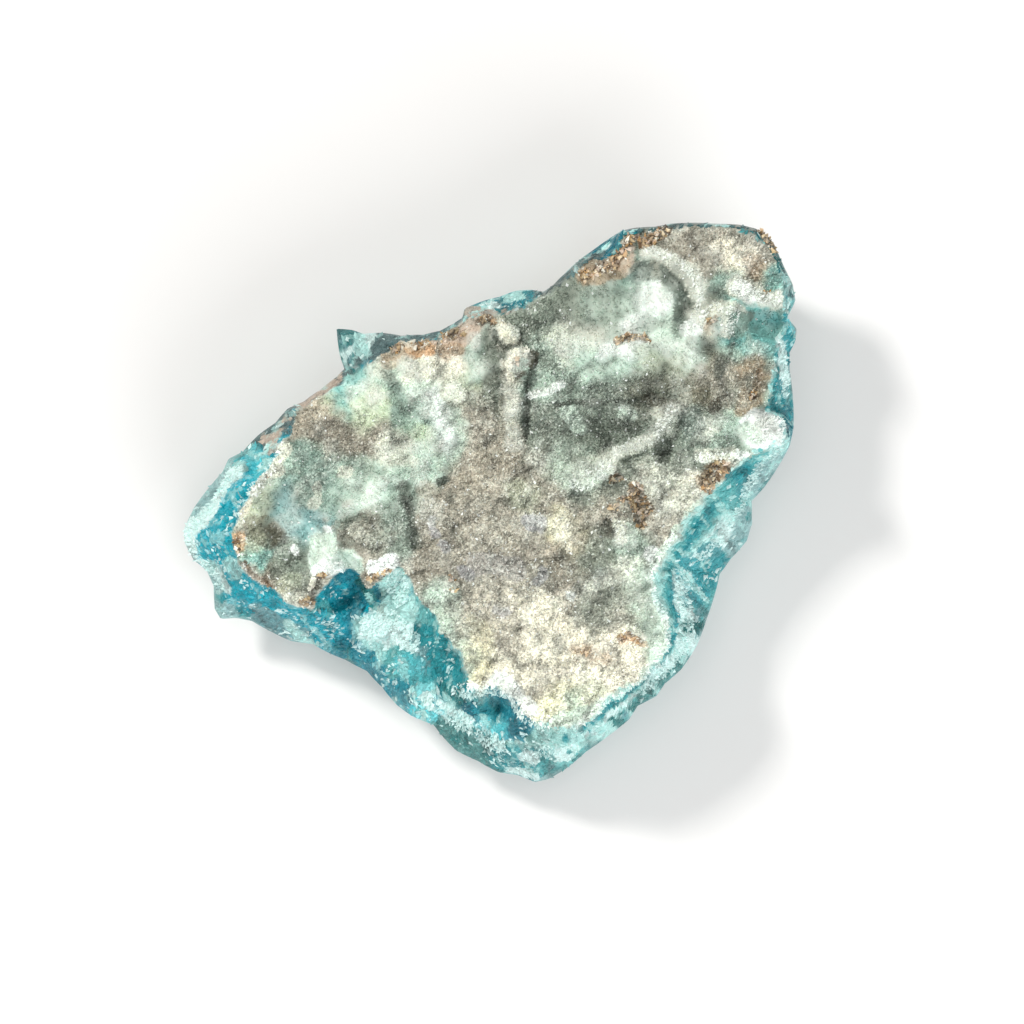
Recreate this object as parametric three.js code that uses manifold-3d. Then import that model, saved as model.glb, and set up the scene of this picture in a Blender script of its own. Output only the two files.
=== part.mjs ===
// Hemimorphite: a broken slab of crystal crust, one natural piece.
// A grey-green skin of fine crystals covers the top. Round it the broken edge slopes down through
// the blue layers to a ledge, the stone's outline, and turns in under it to a flat parting.
// Units are millimetres, +Z is up, and the origin is on the floor under the outline's middle.
import * as THREE from "three";
import { mergeVertices } from "three/addons/utils/BufferGeometryUtils.js";
import Module from "manifold-3d";

// Places are read in the reference picture as [column, row] of a point on the stone.
// A pixel covers pixelAtFloor at the height of the floor, and less the nearer the eye it is.
const pixelAtFloor = 0.08;
const eyeHeight = 420;
const pictureMiddle = [490, 502];

const skinHeight = 13;
const edgeDroop = 0.9; // how far the skin bends down at its edge
const droopReach = 1.5;
const narrowestSlope = 0.5; // the least width of the bare slope round the skin

const topCells = 52; // cells along each side of the top's grid
const skinShare = 0.74; // share of those cells, from the middle out, that lie on the skin
const wallRings = 6;

const cobbleSpacing = 2.4; // the skin's rounded lumps
const cobbleHeight = 0.55;
const chipSpacing = 3.2; // the slope's and the wall's broken faces
const slopeChip = 1.5;
const wallChip = 1.5;
const crystalStretch = 1.6;

// The outline as seen from above, clockwise from the horn: column, row, height above the floor.
const outline = [
  [337, 329, 8.2], [352, 330, 8.4], [364, 334, 8.8], [382, 333, 9.6], [402, 336, 10.4], [424, 335, 11],
  [441, 331, 11.4], [454, 324, 11.2], [463, 318, 10.6], [465, 309, 9.8], [484, 301, 9.4], [500, 297, 9.2],
  [516, 291, 9.2], [531, 290, 9.4], [544, 292, 10.2], [553, 286, 11], [566, 273, 11], [580, 260, 10.8],
  [594, 250, 10.2], [608, 240, 10], [622, 231, 10.6], [636, 228, 11.8], [656, 227, 12.2], [672, 224, 12],
  [694, 223, 11.8], [718, 224, 12], [740, 225, 12.2], [757, 229, 12], [768, 236, 11.6], [777, 250, 11],
  [785, 268, 10.6], [793, 284, 10.2], [796, 301, 9.8], [788, 318, 9.6], [797, 329, 9], [796, 341, 9],
  [790, 353, 9.6], [790, 370, 9.6], [793, 392, 8.8], [794, 428, 7.6], [790, 446, 7], [779, 466, 6.4],
  [765, 487, 6], [752, 501, 5.8], [752, 524, 5.4], [747, 541, 5], [731, 559, 5], [720, 574, 5.2],
  [715, 595, 5.6], [707, 619, 6], [697, 646, 6.2], [682, 669, 6.4], [665, 684, 6.8], [657, 696, 7],
  [638, 706, 7], [629, 720, 6.4], [611, 734, 6], [586, 752, 5.4], [566, 769, 5], [549, 779, 4.6],
  [535, 782, 4.4], [518, 775, 4.4], [498, 772, 4.4], [478, 761, 4.6], [457, 751, 4.8], [445, 739, 5.2],
  [434, 725, 6], [412, 716, 6], [397, 705, 5.8], [383, 688, 5.6], [367, 671, 5.4], [346, 660, 5.4],
  [329, 653, 5.2], [313, 644, 4.8], [291, 641, 4.6], [268, 630, 4.4], [252, 621, 4.6], [237, 618, 4.8],
  [221, 619, 4.8], [215, 609, 5], [214, 586, 5.4], [207, 570, 5.8], [194, 560, 6], [185, 543, 6.4],
  [184, 530, 6.4], [195, 507, 6.2], [210, 487, 6.4], [223, 472, 6.6], [229, 459, 7], [243, 452, 7.6],
  [258, 436, 8.6], [276, 423, 9.4], [288, 409, 10.2], [304, 402, 10.8], [321, 390, 11.2], [336, 378, 11.3],
  [345, 369, 11], [340, 354, 8.8],
];

// The edge of the skin, clockwise: beyond it the blue layers are bare.
const skinEdge = [
  [302, 410], [322, 396], [345, 379], [362, 369], [384, 358], [398, 344], [424, 340], [446, 334],
  [464, 322], [492, 317], [516, 312], [533, 302], [558, 289], [578, 274], [593, 263], [612, 260],
  [622, 248], [625, 236], [645, 230], [680, 227], [735, 228], [757, 233], [769, 248], [776, 264],
  [782, 290], [787, 318], [776, 345], [774, 380], [768, 398], [755, 412], [746, 434], [741, 462],
  [722, 479], [704, 494], [690, 512], [676, 534], [662, 555], [652, 578], [654, 598], [664, 622],
  [666, 643], [653, 666], [634, 684], [606, 700], [592, 716], [572, 727], [548, 725], [526, 714],
  [517, 694], [500, 686], [482, 690], [467, 684], [462, 662], [460, 650], [441, 630], [440, 613],
  [422, 600], [407, 586], [393, 573], [378, 581], [362, 576], [346, 573], [284, 600], [272, 590],
  [252, 579], [243, 566], [240, 553], [232, 540], [240, 518], [250, 497], [262, 478], [278, 458],
  [288, 441], [300, 424],
];

// The edge of the flat underside, clockwise, seen through the stone.
const footEdge = [
  [232, 545], [246, 497], [300, 446], [372, 388], [398, 366], [470, 340], [560, 318], [634, 262],
  [724, 262], [758, 300], [756, 352], [752, 412], [732, 462], [700, 518], [682, 566], [664, 628],
  [628, 676], [566, 736], [510, 744], [448, 706], [404, 664], [330, 622], [262, 596],
];

// Rounded lumps, and with a negative height hollows: place, half sizes along x and y, height.
const lumps = [
  { name: "westDome", at: [330, 480], size: [9.5, 8.5], height: 0.9 },
  { name: "centreSwell", at: [478, 545], size: [8.5, 8], height: 1.1 },
  { name: "southSwell", at: [565, 665], size: [8.5, 5.2], height: 0.9 },
  { name: "pool", at: [622, 300], size: [6.4, 3.8], height: -1.2 },
  { name: "middleHollow", at: [588, 400], size: [9, 5], height: -0.9 },
  { name: "cobbledCorner", at: [726, 254], size: [6, 4.6], height: 1.3 },
  { name: "knob", at: [518, 358], size: [1.25, 1.25], height: 1.3 },
  { name: "creamBall", at: [504, 335], size: [1.2, 1.15], height: 1 },
  { name: "snowDome", at: [657, 305], size: [1.9, 1.7], height: 1 },
  { name: "crustLobe", at: [718, 322], size: [2.4, 2], height: 0.9 },
  { name: "yellowGreenBoss", at: [380, 400], size: [2.2, 1.9], height: 0.7 },
  { name: "aquaDome", at: [370, 384], size: [2.4, 1.3], height: 0.5 },
  { name: "mintFoot", at: [390, 450], size: [1.4, 1.1], height: 0.5 },
  { name: "icePatch", at: [297, 520], size: [2.8, 1.8], height: 0.6 },
  { name: "whiteWedge", at: [331, 558], size: [1.8, 1.8], height: 0.7 },
  { name: "greyPlate", at: [432, 508], size: [1.7, 2.2], height: 0.6 },
  { name: "frostBank", at: [587, 475], size: [2.1, 1.7], height: 0.9 },
  { name: "butterLump", at: [570, 533], size: [1.7, 1.6], height: 0.7 },
  { name: "mintKnuckle", at: [626, 540], size: [1.5, 1.4], height: 1 },
  { name: "rimSnow", at: [766, 428], size: [1.9, 1.6], height: 0.8 },
  { name: "tawnyShoulder", at: [712, 425], size: [1.8, 1.6], height: 0.6 },
  { name: "tealPocket", at: [768, 323], size: [3, 1.9], height: -2 },
  { name: "lowerPocket", at: [500, 706], size: [2.2, 1.6], height: -1.3 },
  { name: "tealDell", at: [446, 662], size: [2, 2.4], height: -0.9 },
  { name: "basin", at: [604, 430], size: [3.6, 2.4], height: -1 },
  { name: "basinEast", at: [655, 398], size: [2.8, 1.5], height: -1 },
  { name: "lumpRidgeHollow", at: [630, 458], size: [1.4, 1.1], height: -0.6 },
  { name: "ochrePit", at: [640, 506], size: [1.8, 2], height: -0.9 },
  { name: "darkNook", at: [606, 530], size: [1, 1.5], height: -1 },
  { name: "eastNook", at: [663, 452], size: [1, 1.3], height: -0.8 },
  { name: "rustHollow", at: [712, 476], size: [1.4, 1.4], height: -0.6 },
  { name: "tanHollow", at: [755, 382], size: [1.9, 2.2], height: -0.6 },
  { name: "crustNotch", at: [720, 293], size: [1.6, 1], height: -1 },
  { name: "leftDimple", at: [275, 541], size: [1.3, 1.2], height: -0.7 },
  { name: "greyGreenHollow", at: [608, 598], size: [2, 2], height: -0.6 },
];

// Ridges, and with a negative height grooves: a path, its half width and its height.
const ridges = [
  { name: "stem", path: [[517, 366], [514, 400], [513, 440]], width: 1.3, height: 0.9 },
  { name: "stemGroove", path: [[533, 380], [528, 412], [521, 450]], width: 1, height: -0.8 },
  { name: "mintRidge", path: [[414, 372], [426, 402], [430, 432], [420, 472]], width: 2.2, height: 1.2 },
  { name: "mintRib", path: [[477, 340], [477, 376]], width: 1, height: 0.6 },
  { name: "mintStreak", path: [[346, 512], [366, 500], [386, 484]], width: 1, height: 0.7 },
  { name: "darkGroove", path: [[408, 493], [412, 516], [416, 546]], width: 1.1, height: -1.1 },
  { name: "frostRidge", path: [[668, 410], [662, 428], [634, 440], [610, 452], [605, 474]], width: 1.5, height: 1 },
  { name: "crustRidge", path: [[648, 254], [676, 263], [696, 284], [701, 308], [694, 334]], width: 1.4, height: 1.2 },
  { name: "poolGroove", path: [[640, 268], [664, 268], [682, 280], [690, 304], [686, 330]], width: 1.3, height: -1 },
  { name: "cornerLip", path: [[734, 289], [752, 298], [779, 293]], width: 1.2, height: 0.9 },
  { name: "paleBank", path: [[562, 345], [604, 350], [650, 351], [694, 350]], width: 1.6, height: 0.6 },
  { name: "whiteLedge", path: [[533, 397], [560, 385]], width: 0.9, height: 0.5 },
];

// Crystals with flat faces, strung along a path or alone: how many, their radius, how far they stand up.
const crystals = [
  { name: "knobCap", path: [[518, 357]], count: 1, radius: 0.95, rise: 0.5 },
  { name: "ballCap", path: [[504, 334]], count: 1, radius: 0.85, rise: 0.45 },
  { name: "frost", path: [[667, 411], [659, 430], [636, 440], [611, 452]], count: 6, radius: 0.75, rise: 0.5 },
  { name: "crust", path: [[655, 256], [690, 276], [699, 322]], count: 6, radius: 0.65, rise: 0.4 },
  { name: "ochre", path: [[633, 490], [648, 508], [637, 522], [627, 501]], count: 5, radius: 0.6, rise: 0.45 },
  { name: "rust", path: [[716, 468], [706, 482]], count: 2, radius: 0.65, rise: 0.4 },
  { name: "rimRust", path: [[592, 274], [620, 270], [642, 256], [664, 242]], count: 6, radius: 0.6, rise: 0.4 },
  { name: "mintCap", path: [[618, 534]], count: 1, radius: 0.75, rise: 0.5 },
  { name: "pitWall", path: [[586, 412], [600, 442]], count: 3, radius: 0.55, rise: 0.35 },
  { name: "wedgeCap", path: [[330, 562]], count: 1, radius: 0.7, rise: 0.4 },
];

// A picture point at a height, in millimetres from the middle of the picture's stone.
function onStone([column, row], height = skinHeight) {
  const scale = (pixelAtFloor * (eyeHeight - height)) / eyeHeight;
  return new THREE.Vector2((column - pictureMiddle[0]) * scale, (pictureMiddle[1] - row) * scale);
}

const outlineBox = new THREE.Box2().setFromPoints(outline.map((point) => onStone(point, point[2])));
const outlineMiddle = outlineBox.getCenter(new THREE.Vector2());

function placed(point, height) {
  return onStone(point, height).sub(outlineMiddle);
}

// A closed line round the middle as its distance and height at any bearing, in straight steps.
function around(points) {
  const stops = points
    .map(([column, row, height = skinHeight]) => {
      const place = placed([column, row], height);
      return { bearing: Math.atan2(place.y, place.x), reach: place.length(), height };
    })
    .sort((a, b) => a.bearing - b.bearing);
  const first = stops[0];
  const last = stops.at(-1);
  stops.push({ ...first, bearing: first.bearing + 2 * Math.PI });
  stops.unshift({ ...last, bearing: last.bearing - 2 * Math.PI });
  return (bearing) => {
    const next = stops.findIndex((stop) => stop.bearing > bearing);
    const a = stops[next - 1];
    const b = stops[next];
    const share = (bearing - a.bearing) / (b.bearing - a.bearing);
    return {
      reach: THREE.MathUtils.lerp(a.reach, b.reach, share),
      height: THREE.MathUtils.lerp(a.height, b.height, share),
    };
  };
}

const outlineAround = around(outline);
const skinAround = around(skinEdge);
const footAround = around(footEdge.map(([column, row]) => [column, row, 0]));

// The stone at one bearing: where the skin ends, the outline and its height, and the foot.
function atBearing(bearing) {
  const rim = outlineAround(bearing);
  const skin = Math.min(skinAround(bearing).reach, rim.reach - narrowestSlope);
  return { skin, rim: rim.reach, rimHeight: rim.height, foot: Math.min(footAround(bearing).reach, rim.reach - 1) };
}

// A repeatable number from 0 to 1 for each cell of a grid.
function cellNoise(i, j, salt) {
  const value = Math.sin(i * 127.1 + j * 311.7 + salt * 74.7) * 43758.5453;
  return value - Math.floor(value);
}

// Each grid cell holds one site, and visit gets the offset from the site, in cells, and its numbers.
function eachSite(u, v, visit) {
  for (let i = Math.floor(u) - 1; i <= Math.floor(u) + 1; i++) {
    for (let j = Math.floor(v) - 1; j <= Math.floor(v) + 1; j++) {
      visit(u - i - cellNoise(i, j, 1), v - j - cellNoise(i, j, 2), i, j);
    }
  }
}

// Domes crowded side by side, from 0 in the gaps to 1 on the crowns.
function cobbles(u, v) {
  let top = 0;
  eachSite(u, v, (du, dv, i, j) => {
    const size = 0.75 + 0.4 * cellNoise(i, j, 3);
    top = Math.max(top, 1 - (du * du + dv * dv) / (size * size));
  });
  return top;
}

// Tilted flat faces, one round each site, from about -0.5 to 0.5.
function chips(u, v) {
  let nearest = Infinity;
  let height = 0;
  eachSite(u, v, (du, dv, i, j) => {
    const distance = du * du + dv * dv;
    if (distance >= nearest) return;
    nearest = distance;
    const tilt = 0.6 * (cellNoise(i, j, 4) - 0.5) * du + 0.6 * (cellNoise(i, j, 5) - 0.5) * dv;
    height = tilt + 0.8 * (cellNoise(i, j, 6) - 0.5);
  });
  return height;
}

function distanceToPath(x, y, points) {
  const spot = new THREE.Vector3(x, y, 0);
  const nearest = new THREE.Vector3();
  let least = Infinity;
  for (let i = 0; i + 1 < points.length; i++) {
    new THREE.Line3(points[i], points[i + 1]).closestPointToPoint(spot, true, nearest);
    least = Math.min(least, nearest.distanceTo(spot));
  }
  return least;
}

const hump = (share) => (share < 1 ? (1 - share * share) ** 2 : 0);

const placedLumps = lumps.map((lump) => ({ ...lump, centre: placed(lump.at) }));
const placedRidges = ridges.map((ridge) => ({
  ...ridge,
  points: ridge.path.map((point) => {
    const place = placed(point);
    return new THREE.Vector3(place.x, place.y, 0);
  }),
}));

// The skin: named lumps and ridges, with cobbles all over.
function skinRelief(x, y) {
  let height = cobbleHeight * cobbles(x / cobbleSpacing, y / cobbleSpacing);
  for (const { centre, size, height: rise } of placedLumps) {
    height += rise * hump(Math.hypot((x - centre.x) / size[0], (y - centre.y) / size[1]));
  }
  for (const { points, width, height: rise } of placedRidges) {
    height += rise * hump(distanceToPath(x, y, points) / width);
  }
  return height;
}

// The top at a place: the skin droops to its edge, and the slope falls in flat chips to the outline.
function topHeight(x, y, reach, { skin, rim, rimHeight }) {
  const droop = edgeDroop * Math.exp(-Math.abs(skin - reach) / droopReach);
  const height = skinHeight + skinRelief(x, y) - droop;
  if (reach <= skin) return height;
  const share = (reach - skin) / (rim - skin);
  const chip = slopeChip * chips(x / chipSpacing, y / chipSpacing) * Math.sin(Math.PI * share);
  return THREE.MathUtils.lerp(height, rimHeight, share) + chip;
}

// The wall's distance from the middle, from the outline (share 0) to the foot (share 1).
function wallReach(bearing, height, share, { rim, foot }) {
  const sweep = (bearing * rim) / chipSpacing;
  const turnIn = 0.7 + 0.8 * cellNoise(Math.round(bearing * 3), 0, 7);
  const cut = wallChip * (0.5 + chips(sweep, height / chipSpacing)) * Math.sin(Math.PI * share);
  return THREE.MathUtils.lerp(rim, foot, share ** turnIn) - cut;
}

// A square grid bent into rings: each cell's ring from 0 to 1, and its bearing.
function ringGrid(cells) {
  const half = cells / 2;
  const points = [];
  for (let j = 0; j <= cells; j++) {
    for (let i = 0; i <= cells; i++) {
      const u = i / half - 1;
      const v = j / half - 1;
      const ring = Math.max(Math.abs(u), Math.abs(v));
      let turn = 0;
      if (ring > 0 && Math.abs(u) >= Math.abs(v)) turn = (Math.PI / 4) * (v / u) + (u < 0 ? Math.PI : 0);
      else if (ring > 0) turn = Math.PI / 2 - (Math.PI / 4) * (u / v) + (v < 0 ? Math.PI : 0);
      points.push({ ring, bearing: Math.atan2(Math.sin(turn), Math.cos(turn)) });
    }
  }
  return points;
}

// The grid's own border, counter-clockwise from its first corner.
function borderOf(cells) {
  const side = cells + 1;
  const border = [];
  for (let i = 0; i < cells; i++) border.push(i);
  for (let j = 0; j < cells; j++) border.push(j * side + cells);
  for (let i = cells; i > 0; i--) border.push(cells * side + i);
  for (let j = cells; j > 0; j--) border.push(j * side);
  return border;
}

// The inner rings lie on the skin and the outer ones on the slope, so an edge follows the skin's edge.
function ringReach(ring, { skin, rim }) {
  if (ring <= skinShare) return (skin * ring) / skinShare;
  return THREE.MathUtils.lerp(skin, rim, (ring - skinShare) / (1 - skinShare));
}

function addTop(positions, faces) {
  for (const { ring, bearing } of ringGrid(topCells)) {
    const spot = atBearing(bearing);
    const reach = ringReach(ring, spot);
    const x = reach * Math.cos(bearing);
    const y = reach * Math.sin(bearing);
    positions.push([x, y, ring === 1 ? spot.rimHeight : topHeight(x, y, reach, spot)]);
  }
  const side = topCells + 1;
  for (let j = 0; j < topCells; j++) {
    for (let i = 0; i < topCells; i++) {
      const a = j * side + i;
      faces.push([a, a + 1, a + side + 1], [a, a + side + 1, a + side]);
    }
  }
  return borderOf(topCells);
}

function addWall(positions, faces, border) {
  const bearings = border.map((index) => Math.atan2(positions[index][1], positions[index][0]));
  let upper = border;
  for (let ring = 1; ring <= wallRings; ring++) {
    const share = ring / wallRings;
    const lower = bearings.map((bearing) => {
      const spot = atBearing(bearing);
      const height = ring === wallRings ? 0 : spot.rimHeight * (1 - share);
      const reach = ring === wallRings ? spot.foot : wallReach(bearing, height, share, spot);
      positions.push([reach * Math.cos(bearing), reach * Math.sin(bearing), height]);
      return positions.length - 1;
    });
    upper.forEach((a, i) => {
      const next = (i + 1) % upper.length;
      faces.push([a, lower[i], lower[next]], [a, lower[next], upper[next]]);
    });
    upper = lower;
  }
  return upper;
}

function addUnderside(positions, faces, border) {
  const edge = border.map((index) => new THREE.Vector2(positions[index][0], positions[index][1]));
  for (const [a, b, c] of THREE.ShapeUtils.triangulateShape(edge, [])) {
    faces.push([border[a], border[c], border[b]]);
  }
}

function stoneGeometry() {
  const positions = [];
  const faces = [];
  const topBorder = addTop(positions, faces);
  const foot = addWall(positions, faces, topBorder);
  addUnderside(positions, faces, foot);
  const geometry = new THREE.BufferGeometry();
  geometry.setAttribute("position", new THREE.Float32BufferAttribute(positions.flat(), 3));
  geometry.setIndex(faces.flat());
  return geometry;
}

// A crystal is a twenty-faced body, drawn out to root it in the skin, and turned its own way.
function crystalGeometry(place, radius, rise, turn) {
  const geometry = new THREE.IcosahedronGeometry(radius, 0);
  geometry.rotateX(turn);
  geometry.rotateZ(turn * 2);
  geometry.scale(1, 1, crystalStretch);
  const spot = atBearing(Math.atan2(place.y, place.x));
  const ground = topHeight(place.x, place.y, place.length(), spot);
  geometry.translate(place.x, place.y, ground - radius * crystalStretch + rise);
  return geometry;
}

function crystalRow({ path, count, radius, rise }) {
  const stops = path.map((point) => placed(point));
  return Array.from({ length: count }, (_, i) => {
    const along = count > 1 ? (i / (count - 1)) * (stops.length - 1) : 0;
    const from = Math.min(Math.floor(along), stops.length - 1);
    const to = Math.min(from + 1, stops.length - 1);
    const place = stops[from].clone().lerp(stops[to], along - from);
    const size = radius * (0.8 + 0.4 * cellNoise(i, path[0][0], 8));
    return crystalGeometry(place, size, rise, 0.7 * i + path[0][1]);
  });
}

const wasm = await Module();
wasm.setup();

function solidOf(geometry) {
  const bare = geometry.clone();
  bare.deleteAttribute("normal");
  bare.deleteAttribute("uv");
  const merged = mergeVertices(bare, 1e-4);
  return new wasm.Manifold(
    new wasm.Mesh({
      numProp: 3,
      vertProperties: new Float32Array(merged.attributes.position.array),
      triVerts: new Uint32Array(merged.index.array),
    }),
  );
}

function geometryOf(solid) {
  const mesh = solid.getMesh();
  const geometry = new THREE.BufferGeometry();
  geometry.setAttribute("position", new THREE.BufferAttribute(mesh.vertProperties, mesh.numProp));
  geometry.setIndex(new THREE.BufferAttribute(mesh.triVerts, 1));
  geometry.computeVertexNormals();
  return geometry;
}

const solid = crystals
  .flatMap(crystalRow)
  .reduce((stone, crystal) => stone.add(solidOf(crystal)), solidOf(stoneGeometry()));

const blueGreenStone = new THREE.MeshStandardMaterial({ color: 0x8fa8a0, roughness: 0.55, metalness: 0 });
const stone = new THREE.Mesh(geometryOf(solid), blueGreenStone);
stone.name = "hemimorphite";

const specimen = new THREE.Group();
specimen.add(stone);

export default specimen;
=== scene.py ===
import math

import bpy
import numpy as np
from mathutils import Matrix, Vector


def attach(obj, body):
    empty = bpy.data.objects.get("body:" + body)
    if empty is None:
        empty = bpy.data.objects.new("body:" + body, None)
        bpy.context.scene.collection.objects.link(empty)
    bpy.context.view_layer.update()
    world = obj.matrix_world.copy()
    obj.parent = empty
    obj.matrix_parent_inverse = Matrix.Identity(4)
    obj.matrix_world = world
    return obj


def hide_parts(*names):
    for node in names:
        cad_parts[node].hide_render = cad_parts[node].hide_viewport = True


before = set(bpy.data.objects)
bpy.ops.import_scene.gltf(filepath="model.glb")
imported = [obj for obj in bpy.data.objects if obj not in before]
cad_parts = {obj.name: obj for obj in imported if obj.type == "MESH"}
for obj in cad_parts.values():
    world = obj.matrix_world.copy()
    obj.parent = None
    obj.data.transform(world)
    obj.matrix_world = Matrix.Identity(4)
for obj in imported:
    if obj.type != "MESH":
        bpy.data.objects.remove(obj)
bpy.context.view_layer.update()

# A broken slab of hemimorphite crust. Shapes are worked out in millimetres and written in metres.
# Places are read in the reference picture as (column, row) of a point on the stone, and a pixel
# covers less the nearer the eye that point is.

picture = {
    "pixelAtFloor": 0.08,
    "eyeHeight": 420.0,
    "width": 1024,
    "sensor": 36.0,
    "stoneMiddle": (490.0, 502.0),
}

stone = {
    "skinHeight": 13.0,
    "edgeDroop": 0.9,
    "droopReach": 1.5,
    "narrowestSlope": 0.5,
    "ceiling": (14.5, 0.85), # where the highest crests start to be held down, and by how much they may rise
    "topCells": 248,
    "wallRings": 28,
    "undersideCells": 62,    # a quarter of topCells
    "cobbleSpacing": 2.4,
    "cobbleHeight": 0.7,
    "chipSpacing": 3.2,
    "slopeChip": 0.9,
    "wallChip": 1.5,
    "edgeStep": 0.5,         # how deep the skin's own broken edge is
    "edgeFade": (0.22, 0.9), # how far it takes to pass from skin to bare layers, in the west and the east
}

# The outline seen from above, clockwise from the horn: column, row, height above the floor.
outline = np.array([
    (337, 329, 8.2), (352, 330, 8.4), (364, 334, 8.8), (382, 333, 9.6), (402, 336, 10.4), (424, 335, 11),
    (441, 331, 11.4), (454, 324, 11.2), (463, 318, 10.6), (465, 309, 9.8), (484, 301, 9.4), (500, 297, 9.2),
    (516, 291, 9.2), (531, 290, 9.4), (544, 292, 10.2), (553, 286, 11), (566, 273, 11), (580, 260, 10.8),
    (594, 250, 10.2), (608, 240, 10), (622, 231, 10.6), (636, 228, 11.8), (656, 227, 12.2), (672, 224, 12),
    (694, 223, 11.8), (718, 224, 12), (740, 225, 12.2), (757, 229, 12), (768, 236, 11.6), (777, 250, 11),
    (785, 268, 10.6), (793, 284, 10.2), (796, 301, 9.8), (788, 318, 9.6), (797, 329, 9), (796, 341, 9),
    (790, 353, 9.6), (790, 370, 9.6), (793, 392, 8.8), (794, 428, 7.6), (790, 446, 7), (779, 466, 6.4),
    (765, 487, 6), (752, 501, 5.8), (752, 524, 5.4), (747, 541, 5), (731, 559, 5), (720, 574, 5.2),
    (715, 595, 5.6), (707, 619, 6), (697, 646, 6.2), (682, 669, 6.4), (665, 684, 6.8), (657, 696, 7),
    (638, 706, 7), (629, 720, 6.4), (611, 734, 6), (586, 752, 5.4), (566, 769, 5), (549, 779, 4.6),
    (535, 782, 4.4), (518, 775, 4.4), (498, 772, 4.4), (478, 761, 4.6), (457, 751, 4.8), (445, 739, 5.2),
    (434, 725, 6), (412, 716, 6), (397, 705, 5.8), (383, 688, 5.6), (367, 671, 5.4), (346, 660, 5.4),
    (329, 653, 5.2), (313, 644, 4.8), (291, 641, 4.6), (268, 630, 4.4), (252, 621, 4.6), (237, 618, 4.8),
    (221, 619, 4.8), (215, 609, 5), (214, 586, 5.4), (207, 570, 5.8), (194, 560, 6), (185, 543, 6.4),
    (184, 530, 6.4), (195, 507, 6.2), (210, 487, 6.4), (223, 472, 6.6), (229, 459, 7), (243, 452, 7.6),
    (258, 436, 8.6), (276, 423, 9.4), (288, 409, 10.2), (304, 402, 10.8), (321, 390, 11.2),
    (336, 378, 11.3), (345, 369, 11), (340, 354, 8.8),
])

# The edge of the skin, clockwise: beyond it the blue layers are bare.
skinEdge = np.array([
    (302, 410), (322, 396), (345, 379), (362, 369), (384, 358), (398, 344), (424, 340), (446, 334),
    (464, 322), (492, 317), (516, 312), (533, 302), (558, 289), (578, 274), (593, 263), (612, 260),
    (622, 248), (625, 236), (645, 230), (680, 227), (735, 228), (757, 233), (769, 248), (776, 264),
    (782, 290), (787, 318), (778, 345), (775, 375), (769, 398), (767, 412), (781, 418), (784, 436),
    (770, 445), (752, 450), (741, 462),
    (722, 479), (704, 494), (690, 512), (676, 534), (662, 555), (652, 578), (654, 598), (664, 622),
    (666, 643), (653, 666), (634, 684), (606, 700), (592, 716), (572, 727), (548, 725), (526, 714),
    (517, 694), (500, 686), (482, 690), (467, 684), (462, 662), (460, 650), (441, 630), (440, 613),
    (422, 600), (407, 586), (393, 574), (378, 584), (364, 592), (348, 600), (330, 606), (313, 610),
    (300, 607), (284, 600), (272, 590),
    (252, 579), (243, 566), (240, 553), (232, 540), (240, 518), (250, 497), (262, 478), (278, 458),
    (288, 441), (300, 424),
])

# Bites out of the skin's edge, where the blue layers are bare too.
bites = [
    [(313, 612), (314, 598), (318, 590), (325, 582), (336, 576), (349, 573), (360, 576), (367, 585),
     (374, 596), (377, 607), (364, 622), (330, 624)],
    [(380, 592), (391, 575), (396, 562), (406, 567), (413, 583), (419, 602), (396, 612)],
]

# The edge of the flat underside, clockwise, seen through the stone.
footEdge = np.array([
    (232, 545), (246, 497), (300, 446), (372, 388), (398, 366), (470, 340), (560, 318), (634, 262),
    (724, 262), (758, 300), (756, 352), (752, 412), (732, 462), (700, 518), (682, 566), (664, 628),
    (628, 676), (566, 736), (510, 744), (448, 706), (404, 664), (330, 622), (262, 596),
])

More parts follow.
